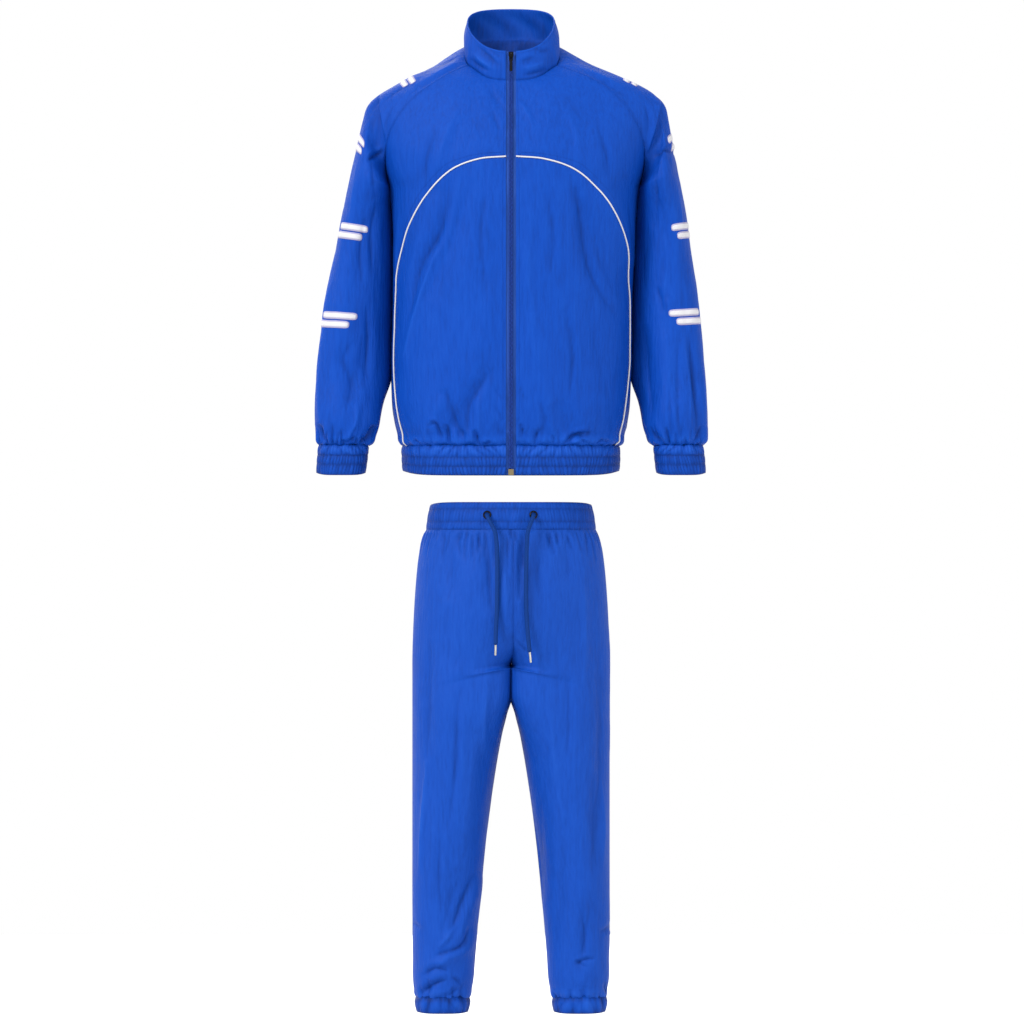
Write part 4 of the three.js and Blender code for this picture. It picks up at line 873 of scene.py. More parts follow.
LEG_FRONT_CREASES = Creases(
    (9, -4, (-46, -838), (-38, -985)),
    (8, 2.4, (-12, -838), (-14, -1010)),
    (8, -3.4, (16, -838), (12, -960)),
    (12, -3, (44, -838), (52, -1000)),
    (16, -2.5, (-104, -840), (-112, -960)),
    (14, -2.5, (100, -845), (106, -930)),
    (26, -3, (-150, -1150), (-100, -1560)),
    (16, -3, (-84, -1440), (-128, -1560)),
    (16, 3, (-80, -1560), (-150, -1640)),
    (20, -3, (96, -1350), (84, -1600)),
    (18, -3, (150, -1480), (120, -1640)),
    (20, 2.5, (-66, -1200), (-90, -1420)),
    (4, -2.6, (-33, -822), (-31, -856), (-32, -900)),
    (3.2, -2.4, (-69, -824), (-70, -856), (-67, -892)),
    (3.2, -2.0, (-63, -822), (-60, -846), (-57, -874)),
    (4, -2.4, (-10, -824), (-11, -870), (-11, -930)),
    (5, -3.0, (21, -822), (19, -856), (20, -905)),
    (3.4, -2.8, (66, -824), (70, -846), (79, -876)),
    (3, -1.8, (82, -822), (83, -838), (86, -860)),
    (3.6, -2.2, (93, -822), (102, -842), (114, -870)),
    (4, -1.8, (-92, -824), (-96, -850), (-93, -880)),
    (4, -1.8, (-120, -826), (-122, -850), (-128, -890)),
    (4, -1.8, (132, -826), (136, -850), (140, -884)),
    (2.4, -1.6, (4, -1030), (16, -1042), (32, -1056)),
    (10, -3.0, (-144, -1030), (-150, -1130), (-154, -1250)),
    (6, -2.4, (-97, -1120), (-99, -1246), (-114, -1380)),
    (7, 2.2, (-44, -1090), (-48, -1160), (-50, -1236)),
    (9, -2.8, (157, -1030), (161, -1246), (153, -1450)),
    (7, 1.8, (128, -900), (134, -1010), (132, -1120)),
    (4, 3.0, (-152, -1240), (-160, -1350), (-166, -1456)),
    (7, -4.6, (-66, -1450), (-88, -1507), (-110, -1566)),
    (6, -4.2, (-72, -1546), (-89, -1579), (-138, -1598)),
    (4, 2.2, (-94, -1534), (-112, -1562), (-132, -1584)),
    (4, -2.0, (-178, -1538), (-164, -1550)),
    (5, -3.4, (-160, -1634), (-137, -1621), (-112, -1625)),
    (5, -3.6, (-172, -1674), (-137, -1649), (-112, -1641)),
    (4, -2.8, (-136, -1676), (-114, -1670), (-92, -1656)),
    (4, -2.4, (-106, -1636), (-96, -1644), (-88, -1652)),
    (4, -2.6, (182, -1540), (172, -1550), (160, -1556)),
    (3.4, -2.4, (114, -1615), (132, -1606), (152, -1603)),
    (3, -1.8, (114, -1606), (124, -1612), (138, -1619)),
    (3.2, -3.6, (170, -1645), (171, -1664), (169, -1684)),
    (3.2, -3.0, (152, -1664), (150, -1676), (149, -1688)),
    (3.2, -2.6, (100, -1668), (101, -1678), (100, -1688)),
    (8, -2.4, (147, -1264), (150, -1350), (147, -1452)),
    (5, 1.8, (165, -1280), (167, -1360), (165, -1446)),
    (14, -3.4, (52, -1300), (52, -1400), (58, -1504)),
    (7, -1.8, (100, -1090), (104, -1180), (98, -1260)),
    (8, 1.8, (70, -1120), (76, -1220), (86, -1330)),
    (6, -2.0, (-128, -1380), (-132, -1460), (-124, -1530)),
    (5, -1.8, (120, -1500), (134, -1560), (128, -1600)),
)
LEG_BACK_CREASES = Creases(
    (18, -3, (-90, -840), (-110, -1040)),
    (18, -3, (90, -840), (110, -1040)),
    (18, -4.5, (40, -1060), (130, -1120)),
    (18, -4.5, (-40, -1060), (-130, -1130)),
    (20, 3, (-60, -1330), (-150, -1370)),
    (20, 3, (60, -1350), (150, -1400)),
    (20, -3, (-80, -1500), (-150, -1640)),
    (20, -3, (90, -1500), (150, -1630)),
    (7, -3.2, (22, -1066), (60, -1082), (110, -1078)),
    (7, -3.2, (-22, -1068), (-64, -1088), (-116, -1084)),
    (6, 2.0, (30, -1100), (76, -1112), (120, -1130)),
    (6, 2.0, (-28, -1104), (-70, -1120), (-122, -1136)),
    (8, -2.8, (-120, -880), (-134, -960), (-128, -1050)),
    (8, -2.8, (124, -890), (136, -970), (130, -1060)),
    (7, -3.0, (-70, -1340), (-104, -1352), (-146, -1346)),
    (7, -3.0, (76, -1352), (110, -1366), (152, -1362)),
    (6, -2.6, (-84, -1392), (-116, -1410), (-150, -1408)),
    (6, -2.6, (88, -1410), (120, -1424), (154, -1420)),
    (6, -3.2, (-92, -1560), (-120, -1590), (-152, -1606)),
    (6, -3.2, (96, -1552), (124, -1586), (156, -1598)),
    (5, -3.0, (-100, -1640), (-126, -1656), (-156, -1660)),
    (5, -3.0, (106, -1632), (130, -1650), (158, -1656)),
)
COLLAR_CREASES = Creases(
    (4, -1.6, (-63, 42), (-42, 24), (-17, 0)),
    (4, 1.2, (-70, 30), (-50, 12), (-28, -6)),
    (4, -1.5, (-72, 18), (-56, 4), (-38, -6)),
    (3.5, -1.2, (-44, 40), (-30, 26), (-14, 16)),
    (4, -1.5, (10, 10), (24, 13), (44, 20)),
    (4, -1.5, (20, -14), (40, -10), (66, -2)),
    (4, 1.2, (14, -2), (34, 2), (60, 10)),
    (4, -1.2, (40, 36), (56, 30), (70, 34)),
)


GATHERS_START = -800
GATHERS_SPAN = 3200


def ripple(across, seed, short, long):
    """Uneven soft gathers along a cloth: 0 between them, up to 1 on each."""
    rng = np.random.default_rng(seed)
    edges = np.cumsum(rng.uniform(short, long, int(GATHERS_SPAN / short))) + GATHERS_START
    k = np.clip(np.searchsorted(edges, across), 1, len(edges) - 1)
    share = (across - edges[k - 1]) / (edges[k] - edges[k - 1])
    size = rng.uniform(0.45, 1.0, len(edges))
    return size[k] * np.sin(np.pi * np.clip(share, 0, 1)) ** 0.75


def puckers(seed, seam, count, low, high, length, width, lift, slant=6):
    """Short uneven puckers that run up from a gathered seam, between two places along it."""
    rng = np.random.default_rng(seed)
    rows = []
    starts = np.linspace(low, high, count, endpoint=False)
    for start in starts + rng.uniform(0, (high - low) / count, count):
        reach = rng.uniform(*length)
        lean = rng.uniform(-slant, slant)
        size = rng.uniform(*width)
        deep = rng.uniform(*lift)
        middle = (start + lean * 0.4, seam + reach * 0.4)
        rows.append((size, deep, (start, seam - reach * 0.5), middle, (start + lean, seam + reach)))
    return Creases(*rows)


# What slow unevenness and the armhole's step add to the lift and to the painted fold shade.
SLOW = np.array([[1.0], [0.3]])
DROP = np.array([[1.0], [0.14]])

# Girth coordinates: millimetres round each piece from the front, right half of the picture above zero.
HEM_PUCKERS = puckers(11, -679.5, 74, -500, 500, (14, 46), (3, 5.5), (-3.0, -1.2))
CUFF_PUCKERS = puckers(12, -678.5, 64, -480, 480, (12, 44), (3, 5.5), (-3.2, -1.2))
ANKLE_PUCKERS = puckers(13, -1678, 44, -500, 500, (12, 40), (4, 7), (-3.4, -1.4), 10)
WAIST_PUCKERS = puckers(14, -831, 70, -400, 400, (-60, -16), (2.6, 4.6), (-2.2, -0.8), 5)

# Deeper folds just above the hem of the front, at x and z in the front view.
HEM_FOLDS = Creases(
    (3.4, -4.0, (-149, -646), (-137, -639), (-128, -660), (-124, -676)),
    (3.4, -4.2, (-117, -641), (-114, -660), (-112, -680)),
    (3.2, -3.6, (-89, -651), (-85, -664), (-83, -678)),
    (3.4, -4.4, (-64, -650), (-60, -666), (-54, -682)),
    (3.0, -3.6, (-50, -682), (-44, -676), (-36, -670)),
    (3.0, 3.0, (-104, -646), (-100, -662), (-98, -678)),
    (3.2, 3.0, (-74, -650), (-70, -666), (-68, -678)),
    (3.4, -3.6, (51, -650), (45, -664), (42, -678)),
    (3.0, -3.0, (75, -660), (77, -668), (77, -679)),
    (3.4, -4.2, (92, -678), (106, -668), (122, -660), (142, -655)),
    (3.2, -3.4, (124, -663), (129, -669), (137, -676)),
    (3.2, -3.2, (150, -675), (164, -671), (180, -673)),
    (3.0, 2.6, (108, -676), (122, -669), (134, -664)),
    (3.4, -3.4, (-176, -668), (-168, -674), (-160, -682)),
    (3.0, -2.4, (18, -640), (22, -660), (24, -678)),
)


def undulate(x, z, seed, size):
    """Slow unevenness of cloth that no size names."""
    rng = np.random.default_rng(seed)
    total = np.zeros(len(x))
    for wave in (150, 95, 60, 38, 24):
        for _ in range(2):
            way = rng.uniform(-0.5, 0.5)
            phase = rng.uniform(0, 2 * np.pi, 2)
            along = x * math.cos(way) + z * math.sin(way)
            over = z * math.cos(way) - x * math.sin(way)
            waves = np.sin(2 * np.pi * along / wave + phase[0])
            total += wave / 150 * waves * np.cos(2 * np.pi * over / (3.4 * wave) + phase[1])
    return size * 0.45 * total


# faces of the garments
def bend(a, leave, arrive, b, t):
    """Places on the cubic curve from a to b that leaves and arrives by the given ways."""
    t = t[:, None]
    s = 1 - t
    start = a * (s**3 + 3 * s * s * t) + leave * (3 * s * s * t)
    return start - arrive * (3 * s * t * t) + b * (t**3 + 3 * s * t * t)


def edge_of(seam, below, run, sign, way):
    """A panel's edge: its place, and the way its rows run there."""

    def along(at):
        low = (at > below.rows[0, 0])[:, None]
        straight = np.stack([0 * at, sign * below.read(at, run), 0 * at], -1)
        shaped = seam.point(at, way + "X", way + "Y", way + "Z")
        return np.where(low, below.point(at), seam.point(at)), np.where(low, straight, shaped)

    return along


body_front_edge = edge_of(FRONT_SEAM, SIDE, "frontRun", 1, "in")
body_back_edge = edge_of(BACK_SEAM, SIDE, "backRun", -1, "in")
sleeve_front_edge = edge_of(FRONT_SEAM, UNDER, "frontRun", -1, "out")
sleeve_back_edge = edge_of(BACK_SEAM, UNDER, "backRun", 1, "out")
leg_front_edge = edge_of(LEG_FRONT, INSEAM, "frontRun", -1, "out")
leg_back_edge = edge_of(LEG_BACK, INSEAM, "backRun", 1, "out")


def body_half(prefix, from_x, edge):
    """The plain surface of the jacket's front or back, from its middle to its edge."""
    def plain(u, at):
        centre = np.stack([0 * at + from_x, CENTRE.read(at, prefix + "Y"), CENTRE.read(at, prefix + "Z")], -1)
        leave = np.stack([CENTRE.read(at, prefix + "Pull"), 0 * at, 0 * at], -1)
        place, way = edge(at)
        return bend(centre, leave, way, place, u)

    return plain


body_front = body_half("front", ZIP_HALF, body_front_edge)
body_back = body_half("back", 0, body_back_edge)


def sleeve_plain(u, at):
    """The plain sleeve, round from its front edge over the ridge (u 0.5) to its back edge."""
    ridge = RIDGE.point(at)
    run = np.stack([0 * at, RIDGE.read(at, "run"), RIDGE.read(at, "tilt")], -1)
    front, front_way = sleeve_front_edge(at)
    back, back_way = sleeve_back_edge(at)
    near = bend(front, front_way, run, ridge, np.clip(2 * u, 0, 1))
    far = bend(ridge, run, -back_way, back, np.clip(2 * u - 1, 0, 1))
    return np.where((u <= 0.5)[:, None], near, far)


def leg_half(edge, run, sign):
    """The plain surface of a leg's front or back, from the inner edge to the side."""
    def plain(u, at):
        place, way = edge(at)
        arrive = np.stack([0 * at, sign * LEG_SIDE.read(at, run), 0 * at], -1)
        return bend(place, way, arrive, LEG_SIDE.point(at), u)

    return plain


leg_front = leg_half(leg_front_edge, "frontRun", 1)
leg_back = leg_half(leg_back_edge, "backRun", -1)


def armhole_drop(u, at, side):
    """The shoulder's cloth folds over the hanging sleeve, which drops back below the fold."""
    share = u / 0.47
    start = 4.55 if side > 0 else 3.75
    past = at - (start + 0.9 * (1 - share) + 1.1 * (1 - share) ** 3)
    shape = smooth(past / 0.14) * (1 - smooth((past - 0.4) / 2.8))
    return np.where(share < 1, -9.5 * shape * smooth(share * 3 + 0.2) * smooth((1 - share) * 4), 0)


def blouse(near, girth, seed, size=4.2):
    """Cloth swells out just above a gathered band and tucks in at its seam, unevenly round it."""
    swell = np.exp(-(((near - 10) / 8) ** 2)) * (0.55 + 0.45 * ripple(girth, seed, 26, 64))
    return size * swell - 2.2 * np.exp(-((near / 3.0) ** 2))


def groove(near, deep=0.9, wide=2.6):
    """A seam draws the cloth in beside it."""
    return -deep * np.exp(-((near / wide) ** 2))


# about how many millimetres a row is deep at the tops and above the hem and ankles
TOP_ROW = 24
HEM_ROW = 25
ANKLE_ROW = 28

# girth coordinates at shares of each face, and the seams at its sides
BODY_HALF = 480
SLEEVE_ROUND = 470
LEG_HALF = 400
ANKLE_HALF = 320


def body_front_girth(u):
    return u * BODY_HALF / 2


def body_back_girth(u):
    return BODY_HALF - body_front_girth(u)


def sleeve_girth(u):
    return SLEEVE_ROUND / 2 - np.abs(u * SLEEVE_ROUND - SLEEVE_ROUND / 2)


def ankle_front_girth(u):
    return u * ANKLE_HALF / 2


def ankle_back_girth(u):
    return ANKLE_HALF - ankle_front_girth(u)


def body_seams(u):
    return groove((1 - u) * 250)


def from_sleeve_seam(u):
    """How far each place is from the nearer side of the sleeve's cut."""
    return np.minimum(u, 1 - u) * 480


def sleeve_seams(u):
    return groove(from_sleeve_seam(u))


def leg_seams(u):
    return groove(u * 200, 1.5, 1.8) + groove((1 - u) * 200)


def body_lift(u, at, x, z, creases, unevenness, gathers, girth):
    """Lift of the jacket's front or back: creases, then gathers above the bloused hem."""
    calm = smooth((1 - u) * 22) * smooth((BODY_END - at) * 2.2) * smooth(at * 1.6)
    lift = calm * (creases.lift(x, z) + undulate(x, z, *unevenness) * SLOW)
    lift += smooth((BODY_END - at) * 3.5) * gathers
    return lift + groove(at * TOP_ROW, 0.8) + blouse((BODY_END - at) * HEM_ROW, girth, 81)


def body_front_lift(u, at, x, z, side):
    girth = side * body_front_girth(u)
    gathers = 0.6 * HEM_PUCKERS.lift(girth, z) + HEM_FOLDS.lift(x, z)
    return body_lift(u, at, x, z, JACKET_FRONT_CREASES, (21, 1.0), gathers, girth)


def body_back_lift(u, at, x, z, side):
    girth = side * body_back_girth(u)
    gathers = smooth(u * 14) * HEM_PUCKERS.lift(girth, z)
    return body_lift(u, at, x, z, JACKET_BACK_CREASES, (22, 1.2), gathers, girth)


def sleeve_lift(u, at, x, z, side):
    calm = smooth(u * 14) * smooth((1 - u) * 14) * smooth((SLEEVE_END - at) * 2.2) * smooth(at * 1.6)
    front = smooth((0.62 - u) * 6)
    creases = front * SLEEVE_FRONT_CREASES.lift(x, z) + (1 - front) * SLEEVE_BACK_CREASES.lift(x, z)
    creases += SHOULDER_CREASES.lift(x, z) * smooth((0.75 - u) * 6)
    lift = calm * (creases + undulate(x + u * 300, z, 23, 1.1) * SLOW)
    beside = smooth(np.minimum(u, 1 - u) * 14)
    girth = side * u * SLEEVE_ROUND
    lift += beside * smooth((SLEEVE_END - at) * 3.5) * CUFF_PUCKERS.lift(girth, z)
    edge = from_sleeve_seam(u)
    lift += blouse((SLEEVE_END - at) * TOP_ROW, girth, 83, 3.6) + groove(at * TOP_ROW, 0.8)
    closing = np.exp(-((edge / 22) ** 2)) * smooth((at - 7.8) * 1.6) * smooth((11.5 - at) * 0.6)
    inner = 5 * np.exp(-((edge / 60) ** 2)) * np.exp(-(((z + 648) / 32) ** 2))
    return lift + (armhole_drop(u, at, side) + inner) * DROP + 4.0 * closing * SLOW


def leg_lift(u, at, x, z, creases, unevenness, waist, girth, ankle_girth):
    """Lift of a leg's front or back: creases, then gathers at the waist and above the ankle."""
    calm = smooth((1 - u) * 22) * smooth(at * 1.4) * smooth((LEG_END - at) * 1.6) * smooth(u * 24)
    lift = calm * (creases.lift(x, z) + undulate(x, z, *unevenness) * SLOW)
    lift += waist * smooth(at * 3) * WAIST_PUCKERS.lift(girth, z)
    lift += smooth(u * 14) * smooth((LEG_END - at) * 3.5) * ANKLE_PUCKERS.lift(ankle_girth, z)
    seam = groove(at * TOP_ROW, 2.0, 3.0)
    return lift + seam + blouse((LEG_END - at) * ANKLE_ROW, girth, 84, 2.4)


def leg_front_lift(u, at, x, z, side):
    girth = side * u * LEG_HALF / 2
    return leg_lift(u, at, x, z, LEG_FRONT_CREASES, (24, 1.0), 1.0, girth, side * ankle_front_girth(u))


def leg_back_lift(u, at, x, z, side):
    girth = side * (LEG_HALF - u * LEG_HALF / 2)
    waist = smooth(u * 14)
    return leg_lift(u, at, x, z, LEG_BACK_CREASES, (25, 1.2), waist, girth, side * ankle_back_girth(u))


class Face:
    """One side of a garment, as its cloth lies at shares along a row (u) and row positions (at)."""

    def __init__(self, plain, turn, lift, end, girth, seams):
        self.plain = plain
        self.turn = turn
        self.lift = lift
        self.end = end
        self.girth = girth
        self.seams = seams

    def outward(self, u, at):
        across = self.plain(np.minimum(u + 0.004, 1), at) - self.plain(np.maximum(u - 0.004, 0), at)
        down = self.plain(u, at + 0.04) - self.plain(u, np.maximum(at - 0.04, 0))
        return unit(np.cross(across, down) * self.turn)

    def cloth(self, u, at, side, over=0.0):
        """Places, outward ways and painted fold shades; over is a height above the cloth."""
        here = self.plain(u, at)
        way = self.outward(u, at)
        lift, narrow = self.lift(u, at, side * here[:, 0], here[:, 2], side)
        here = here + way * (lift + over)[:, None]
        dip = self.seams(u)
        here[:, 1] += dip * np.sign(way[:, 1])
        beside_seam = smooth(1 - (self.end - at) * 0.8)
        here[:, 2] += 4.0 * beside_seam * (ripple(side * self.girth(u), 91, 16, 44) - 0.55) * smooth(u * 30)
        here[:, 0] = side * here[:, 0] + sway(here)
        way[:, 0] *= side
        # painted fold shade: darker in crease troughs and seam grooves, lighter on ridges
        return here, way, np.clip(narrow / 4.5 + dip / 2.2, -1, 1)


FRONT = Face(body_front, -1, body_front_lift, BODY_END, body_front_girth, body_seams)
BACK = Face(body_back, 1, body_back_lift, BODY_END, body_back_girth, body_seams)
SLEEVE = Face(sleeve_plain, -1, sleeve_lift, SLEEVE_END, sleeve_girth, sleeve_seams)
LEG_FRONT_FACE = Face(leg_front, -1, leg_front_lift, LEG_END, ankle_front_girth, leg_seams)
LEG_BACK_FACE = Face(leg_back, 1, leg_back_lift, LEG_END, ankle_back_girth, leg_seams)


# the arch seam on the jacket front
def locate(x, z):
    """Where places in the front view lie on the jacket front."""
    u = 0 * x + 0.5
    at = 0 * x + 10
    for _ in range(26):
        low, high = 0 * x, 0 * x + 1
        for _ in range(24):
            u = (low + high) / 2
            inside = body_front(u, at)[:, 0] < x
            low, high = np.where(inside, u, low), np.where(inside, high, u)
        low, high = 0 * x, 0 * x + BODY_END
        for _ in range(26):
            at = (low + high) / 2
            above = body_front(u, at)[:, 2] > z
            low, high = np.where(above, at, low), np.where(above, high, at)
    return u, at


ARCH_STEPS = ARCH_TOP_STEPS + ARCH_SIDE_STEPS
arch_line = evenly(smooth_path(ARCH, 60), ARCH_STEPS * 10)
arch_u, arch_at = locate(arch_line[:, 0], arch_line[:, 1])
arch_u[0], arch_at[-1] = 0, BODY_END
arch_k = np.linspace(0, ARCH_STEPS, len(arch_u))


def arch(k):
    """Where step k of the arch seam lies on the jacket front."""
    return np.interp(k, arch_k, arch_u), np.interp(k, arch_k, arch_at)


def inside_arch(a, b):
    """Jacket front inside the arch, from the zip (a 0) to the piping (a 1), top (b 0) to hem."""
    top, side = arch(a * ARCH_TOP_STEPS), arch(ARCH_TOP_STEPS + b * ARCH_SIDE_STEPS)
    start, corner, end = arch(0), arch(ARCH_TOP_STEPS), arch(ARCH_STEPS)
    hem_start = (0, BODY_END)
    out = []
    for k in (0, 1):
        zip_line = start[k] * (1 - b) + hem_start[k] * b
        hem_line = hem_start[k] * (1 - a) + end[k] * a
        corners = (1 - b) * ((1 - a) * start[k] + a * corner[k]) + b * ((1 - a) * hem_start[k] + a * end[k])
        out.append((1 - b) * top[k] + b * hem_line + (1 - a) * zip_line + a * side[k] - corners)
    return out


def outside_arch(k, share):
    """Jacket front outside the arch, to the neck, the raglan seam and the side."""
    u, at = arch(k)
    edge_u = np.where(k <= NECK_STEPS, k / NECK_STEPS, 1)
    edge_at = np.where(k <= NECK_STEPS, 0, k - NECK_STEPS)
    return u + (edge_u - u) * share, at + (edge_at - at) * share


def beside_piping(near):
    return -0.8 * np.exp(-((near / 2.4) ** 2))


def declare(name):
    """Takes the side names out of a piece's name, and does nothing more with it."""
    for side_name in SIDES:
        name = name.replace(f"_{side_name}", "")


def sewn(node, look, columns, rows, place, shell=0.0):
    """A draped panel of cloth that stands for one CAD node."""
    name = f"{node}_cloth"
    obj = laid_grid(name, columns, rows, place, shell=shell)
    finished(obj, look, [node])
    declare(name)


def jacket_front(side_name, side):
    """The front cloth inside and outside the arch seam, the piping and the stitching."""
    def centre(s, t):
        u, at = inside_arch(s, t)
        near = np.minimum((1 - s) * 200, t * 520)
        return FRONT.cloth(u, at, side, beside_piping(near) - 0.5 * np.exp(-((s * 200 / 1.6) ** 2)))

    def outer(s, t):
        u, at = outside_arch(s * ARCH_STEPS, t)
        return FRONT.cloth(u, at, side, beside_piping(t * 60))

    sewn(f"front_centre_{side_name}", "jacket_cloth", 76, 190, centre)
    sewn(f"front_outer_{side_name}", "jacket_cloth", 330, 36, outer)
    u, at = arch(np.linspace(0, ARCH_STEPS, 241))
    path = FRONT.cloth(u, at, side, 0.75)[0]
    piping = tube(f"piping_{side_name}_satin", path, 1.45, 10)
    finished(piping, "white_satin", [f"piping_{side_name}"])
    down = np.linspace(0.2, BODY_END - 0.1, 500)
    rows = {
        "arch": outside_arch(np.linspace(0.3, ARCH_STEPS - 0.3, 400), np.full(400, 0.055)),
        "placket": (np.full(500, 0.014), down),
    }
    for name, (u, at) in rows.items():
        points, ways, _ = FRONT.cloth(u, at, side)
        stitches(f"{name}_stitches_{side_name}", points, ways)


def jacket_back():
    def place(s, t):
        share = 2 * s - 1
        points = np.zeros((len(s), 3))
        ways = np.zeros((len(s), 3))
        fold = np.zeros(len(s))
        for side in (1, -1):
            mine = share >= 0 if side > 0 else share < 0
            points[mine], ways[mine], fold[mine] = BACK.cloth(np.abs(share[mine]), t[mine] * BODY_END, side)
        return points, ways, fold

    sewn("back", "jacket_cloth", 130, 190, place)


def sleeve(side_name, side):
    def place(s, t):
        u = np.where(s < 0.64, s / 1.28, 0.5 + (s - 0.64) / 0.72)
        at = t * SLEEVE_END
        points, ways, fold = SLEEVE.cloth(u, at, side)
        beside_seam = np.exp(-((from_sleeve_seam(u) / 6) ** 2))
        points[:, 0] += side * 0.6 * beside_seam * smooth((at - 8.1) * 1.5) * smooth((10 - at) * 1.2)
        return points, ways, fold

    sewn(f"sleeve_{side_name}", "jacket_cloth", 170, 270, place)
    for name, edge in (("front", 0.012), ("back", 0.988)):
        down = np.linspace(0.15, 7.2, 260)
        points, ways, _ = SLEEVE.cloth(0 * down + edge, down, side)
        stitches(f"raglan_stitches_{name}_{side_name}", points, ways)


# for each pair of bars: side, row position, and the shares round the sleeve where it starts and ends
MARKS = [
    (-1, 2.45, 0.2, 0.42),
    (-1, 6.9, 0.3, 0.52),
    (-1, 11.1, 0.24, 0.45),
    (-1, 15.3, 0.26, 0.45),
    (1, 2.6, 0.28, 0.46),
    (1, 6.9, 0.38, 0.57),
    (1, 11.1, 0.32, 0.53),
    (1, 15.15, 0.27, 0.46),
]
BAR_STEP = 16
BAR_HALF = 6
BAR_SHIFT = 0.035
SHARE_PER_MM = 0.0021


def bars():
    """Generic pairs of staggered satin bars down each sleeve."""
    counts = {"left": 0, "right": 0}
    for side, row, start, end in MARKS:
        side_name = "left" if side > 0 else "right"
        counts[side_name] += 1
        two = np.array([math.floor(row), math.floor(row) + 1.0])
        stops = sleeve_plain(0 * two + 0.5, two)
        cell = np.linalg.norm(stops[1] - stops[0])
        for bar, which in ((0, "upper"), (1, "lower")):
            centre = row + (bar - 0.5) * BAR_STEP / cell
            node = f"mark_{side_name}_{counts[side_name]}_{which}"

            def laid(grow, low, high):
                def place(s, t):
                    a, b = 2 * s - 1, 2 * t - 1
                    round_a = a * (1 - 0.075 * b**4)
                    round_b = b * (1 - 0.16 * a**12)
                    half = (end - start) / 2 + grow * SHARE_PER_MM
                    u = (start + end) / 2 + bar * BAR_SHIFT + round_a * half
                    at = centre + round_b * (BAR_HALF + grow) / cell
                    crown = (1 - a**10) * (1 - b**6)
                    return SLEEVE.cloth(u, at, side, low + (high - low) * crown)

                return place

            edge = laid_grid(f"{node}_edge", 28, 8, laid(0.9, 0.3, 0.9), shell=0.3)
            finished(edge, "lilac_edge")
            face = laid_grid(f"{node}_satin", 28, 10, laid(-1.5, 0.6, 1.8), shell=0.5)
            middle = laid(-1.5, 0, 0)(np.linspace(0, 1, 30), np.full(30, 0.5))[0]
            finished(face, "white_satin", [node])
            size = (path_length(middle) * MM, 0.0100)


# collar
RIM = {"half": 78, "front_y": -74, "back_y": 63, "front_z": 31, "back_z": 110, "side_rise": 15}


def rim_point(turn):
    """The collar's rim, at angles from the zip (0) round to the middle of the back."""
    share = (1 - np.cos(turn)) / 2
    x = RIM["half"] * np.sin(turn) + ZIP_HALF * (1 - share) * np.cos(turn / 2) ** 6
    y = RIM["front_y"] + (RIM["back_y"] - RIM["front_y"]) * share
    z = RIM["front_z"] + (RIM["back_z"] - RIM["front_z"]) * share + RIM["side_rise"] * np.sin(turn) ** 2
    return np.stack([np.minimum(x, RIM["half"]), y, z], -1)


def neck_line():
    """One half of the neck seam, from the zip round to the middle of the back."""
    u = np.linspace(0, 1, 60)
    return np.vstack([body_front(u, 0 * u), sleeve_plain(u, 0 * u)[1:], body_back(1 - u, 0 * u)[1:]])


def collar():
    """A stand collar from the neck seam up to its rim, with two stitched rows."""
    half = neck_line()
    reach = reach_along(half)

    def foot(share):
        near = 1 - np.abs(2 * share - 1)
        p = read_path(half, reach, near * reach[-1])
        sign = np.where(share <= 0.5, 1, -1)
        p[:, 0] = sign * p[:, 0] + sway(p)
        return p, near, sign

    def place(s, t):
        base, near, sign = foot(s)
        rim = rim_point(np.pi * near)
        rim[:, 0] *= sign
        deep = 0.05 + 0.4 * smooth((base[:, 1] - 5) / 30)
        share = t * (1 + deep) - deep
        p = base + (rim - base) * share[:, None]
        ahead, behind = foot(np.minimum(s + 0.004, 1))[0], foot(np.maximum(s - 0.004, 0))[0]
        way = level_outward(ahead - behind, p)
        calm = smooth(np.minimum(s, 1 - s) * 26)
        front = smooth((20 - p[:, 1]) / 30)
        lift = 3 * np.sin(np.pi * np.maximum(share, 0)) - 18 * np.maximum(-share, 0)
        lift -= 3 * smooth(-share * 12)
        lift += calm * front * COLLAR_CREASES.lift(p[:, 0], p[:, 2])[0]
        waves = 1.6 * np.sin(p[:, 0] / 9.0 + 1.5 * np.sin(p[:, 2] / 14.0))
        lift += calm * (1 - front) * waves * np.sin(np.pi * share)
        lift += groove(share * 60, 0.8) + 0.5 * np.exp(-(((1 - share) * 60 / 5) ** 2))
        # the third value is painted shade in the collar's creases and painted highlight on its ridges
        return p + way * lift[:, None], way, np.clip((lift - 3 * np.sin(np.pi * share)) / 3, -1, 1)

    sewn("collar", "jacket_cloth", 240, 36, place, shell=2.0)
    s = np.linspace(0.004, 0.996, 700)
    for name, t in (("rim", 0.93), ("foot", 0.09)):
        points, ways, _ = place(s, 0 * s + t)
        stitches(f"collar_stitches_{name}", points, ways)


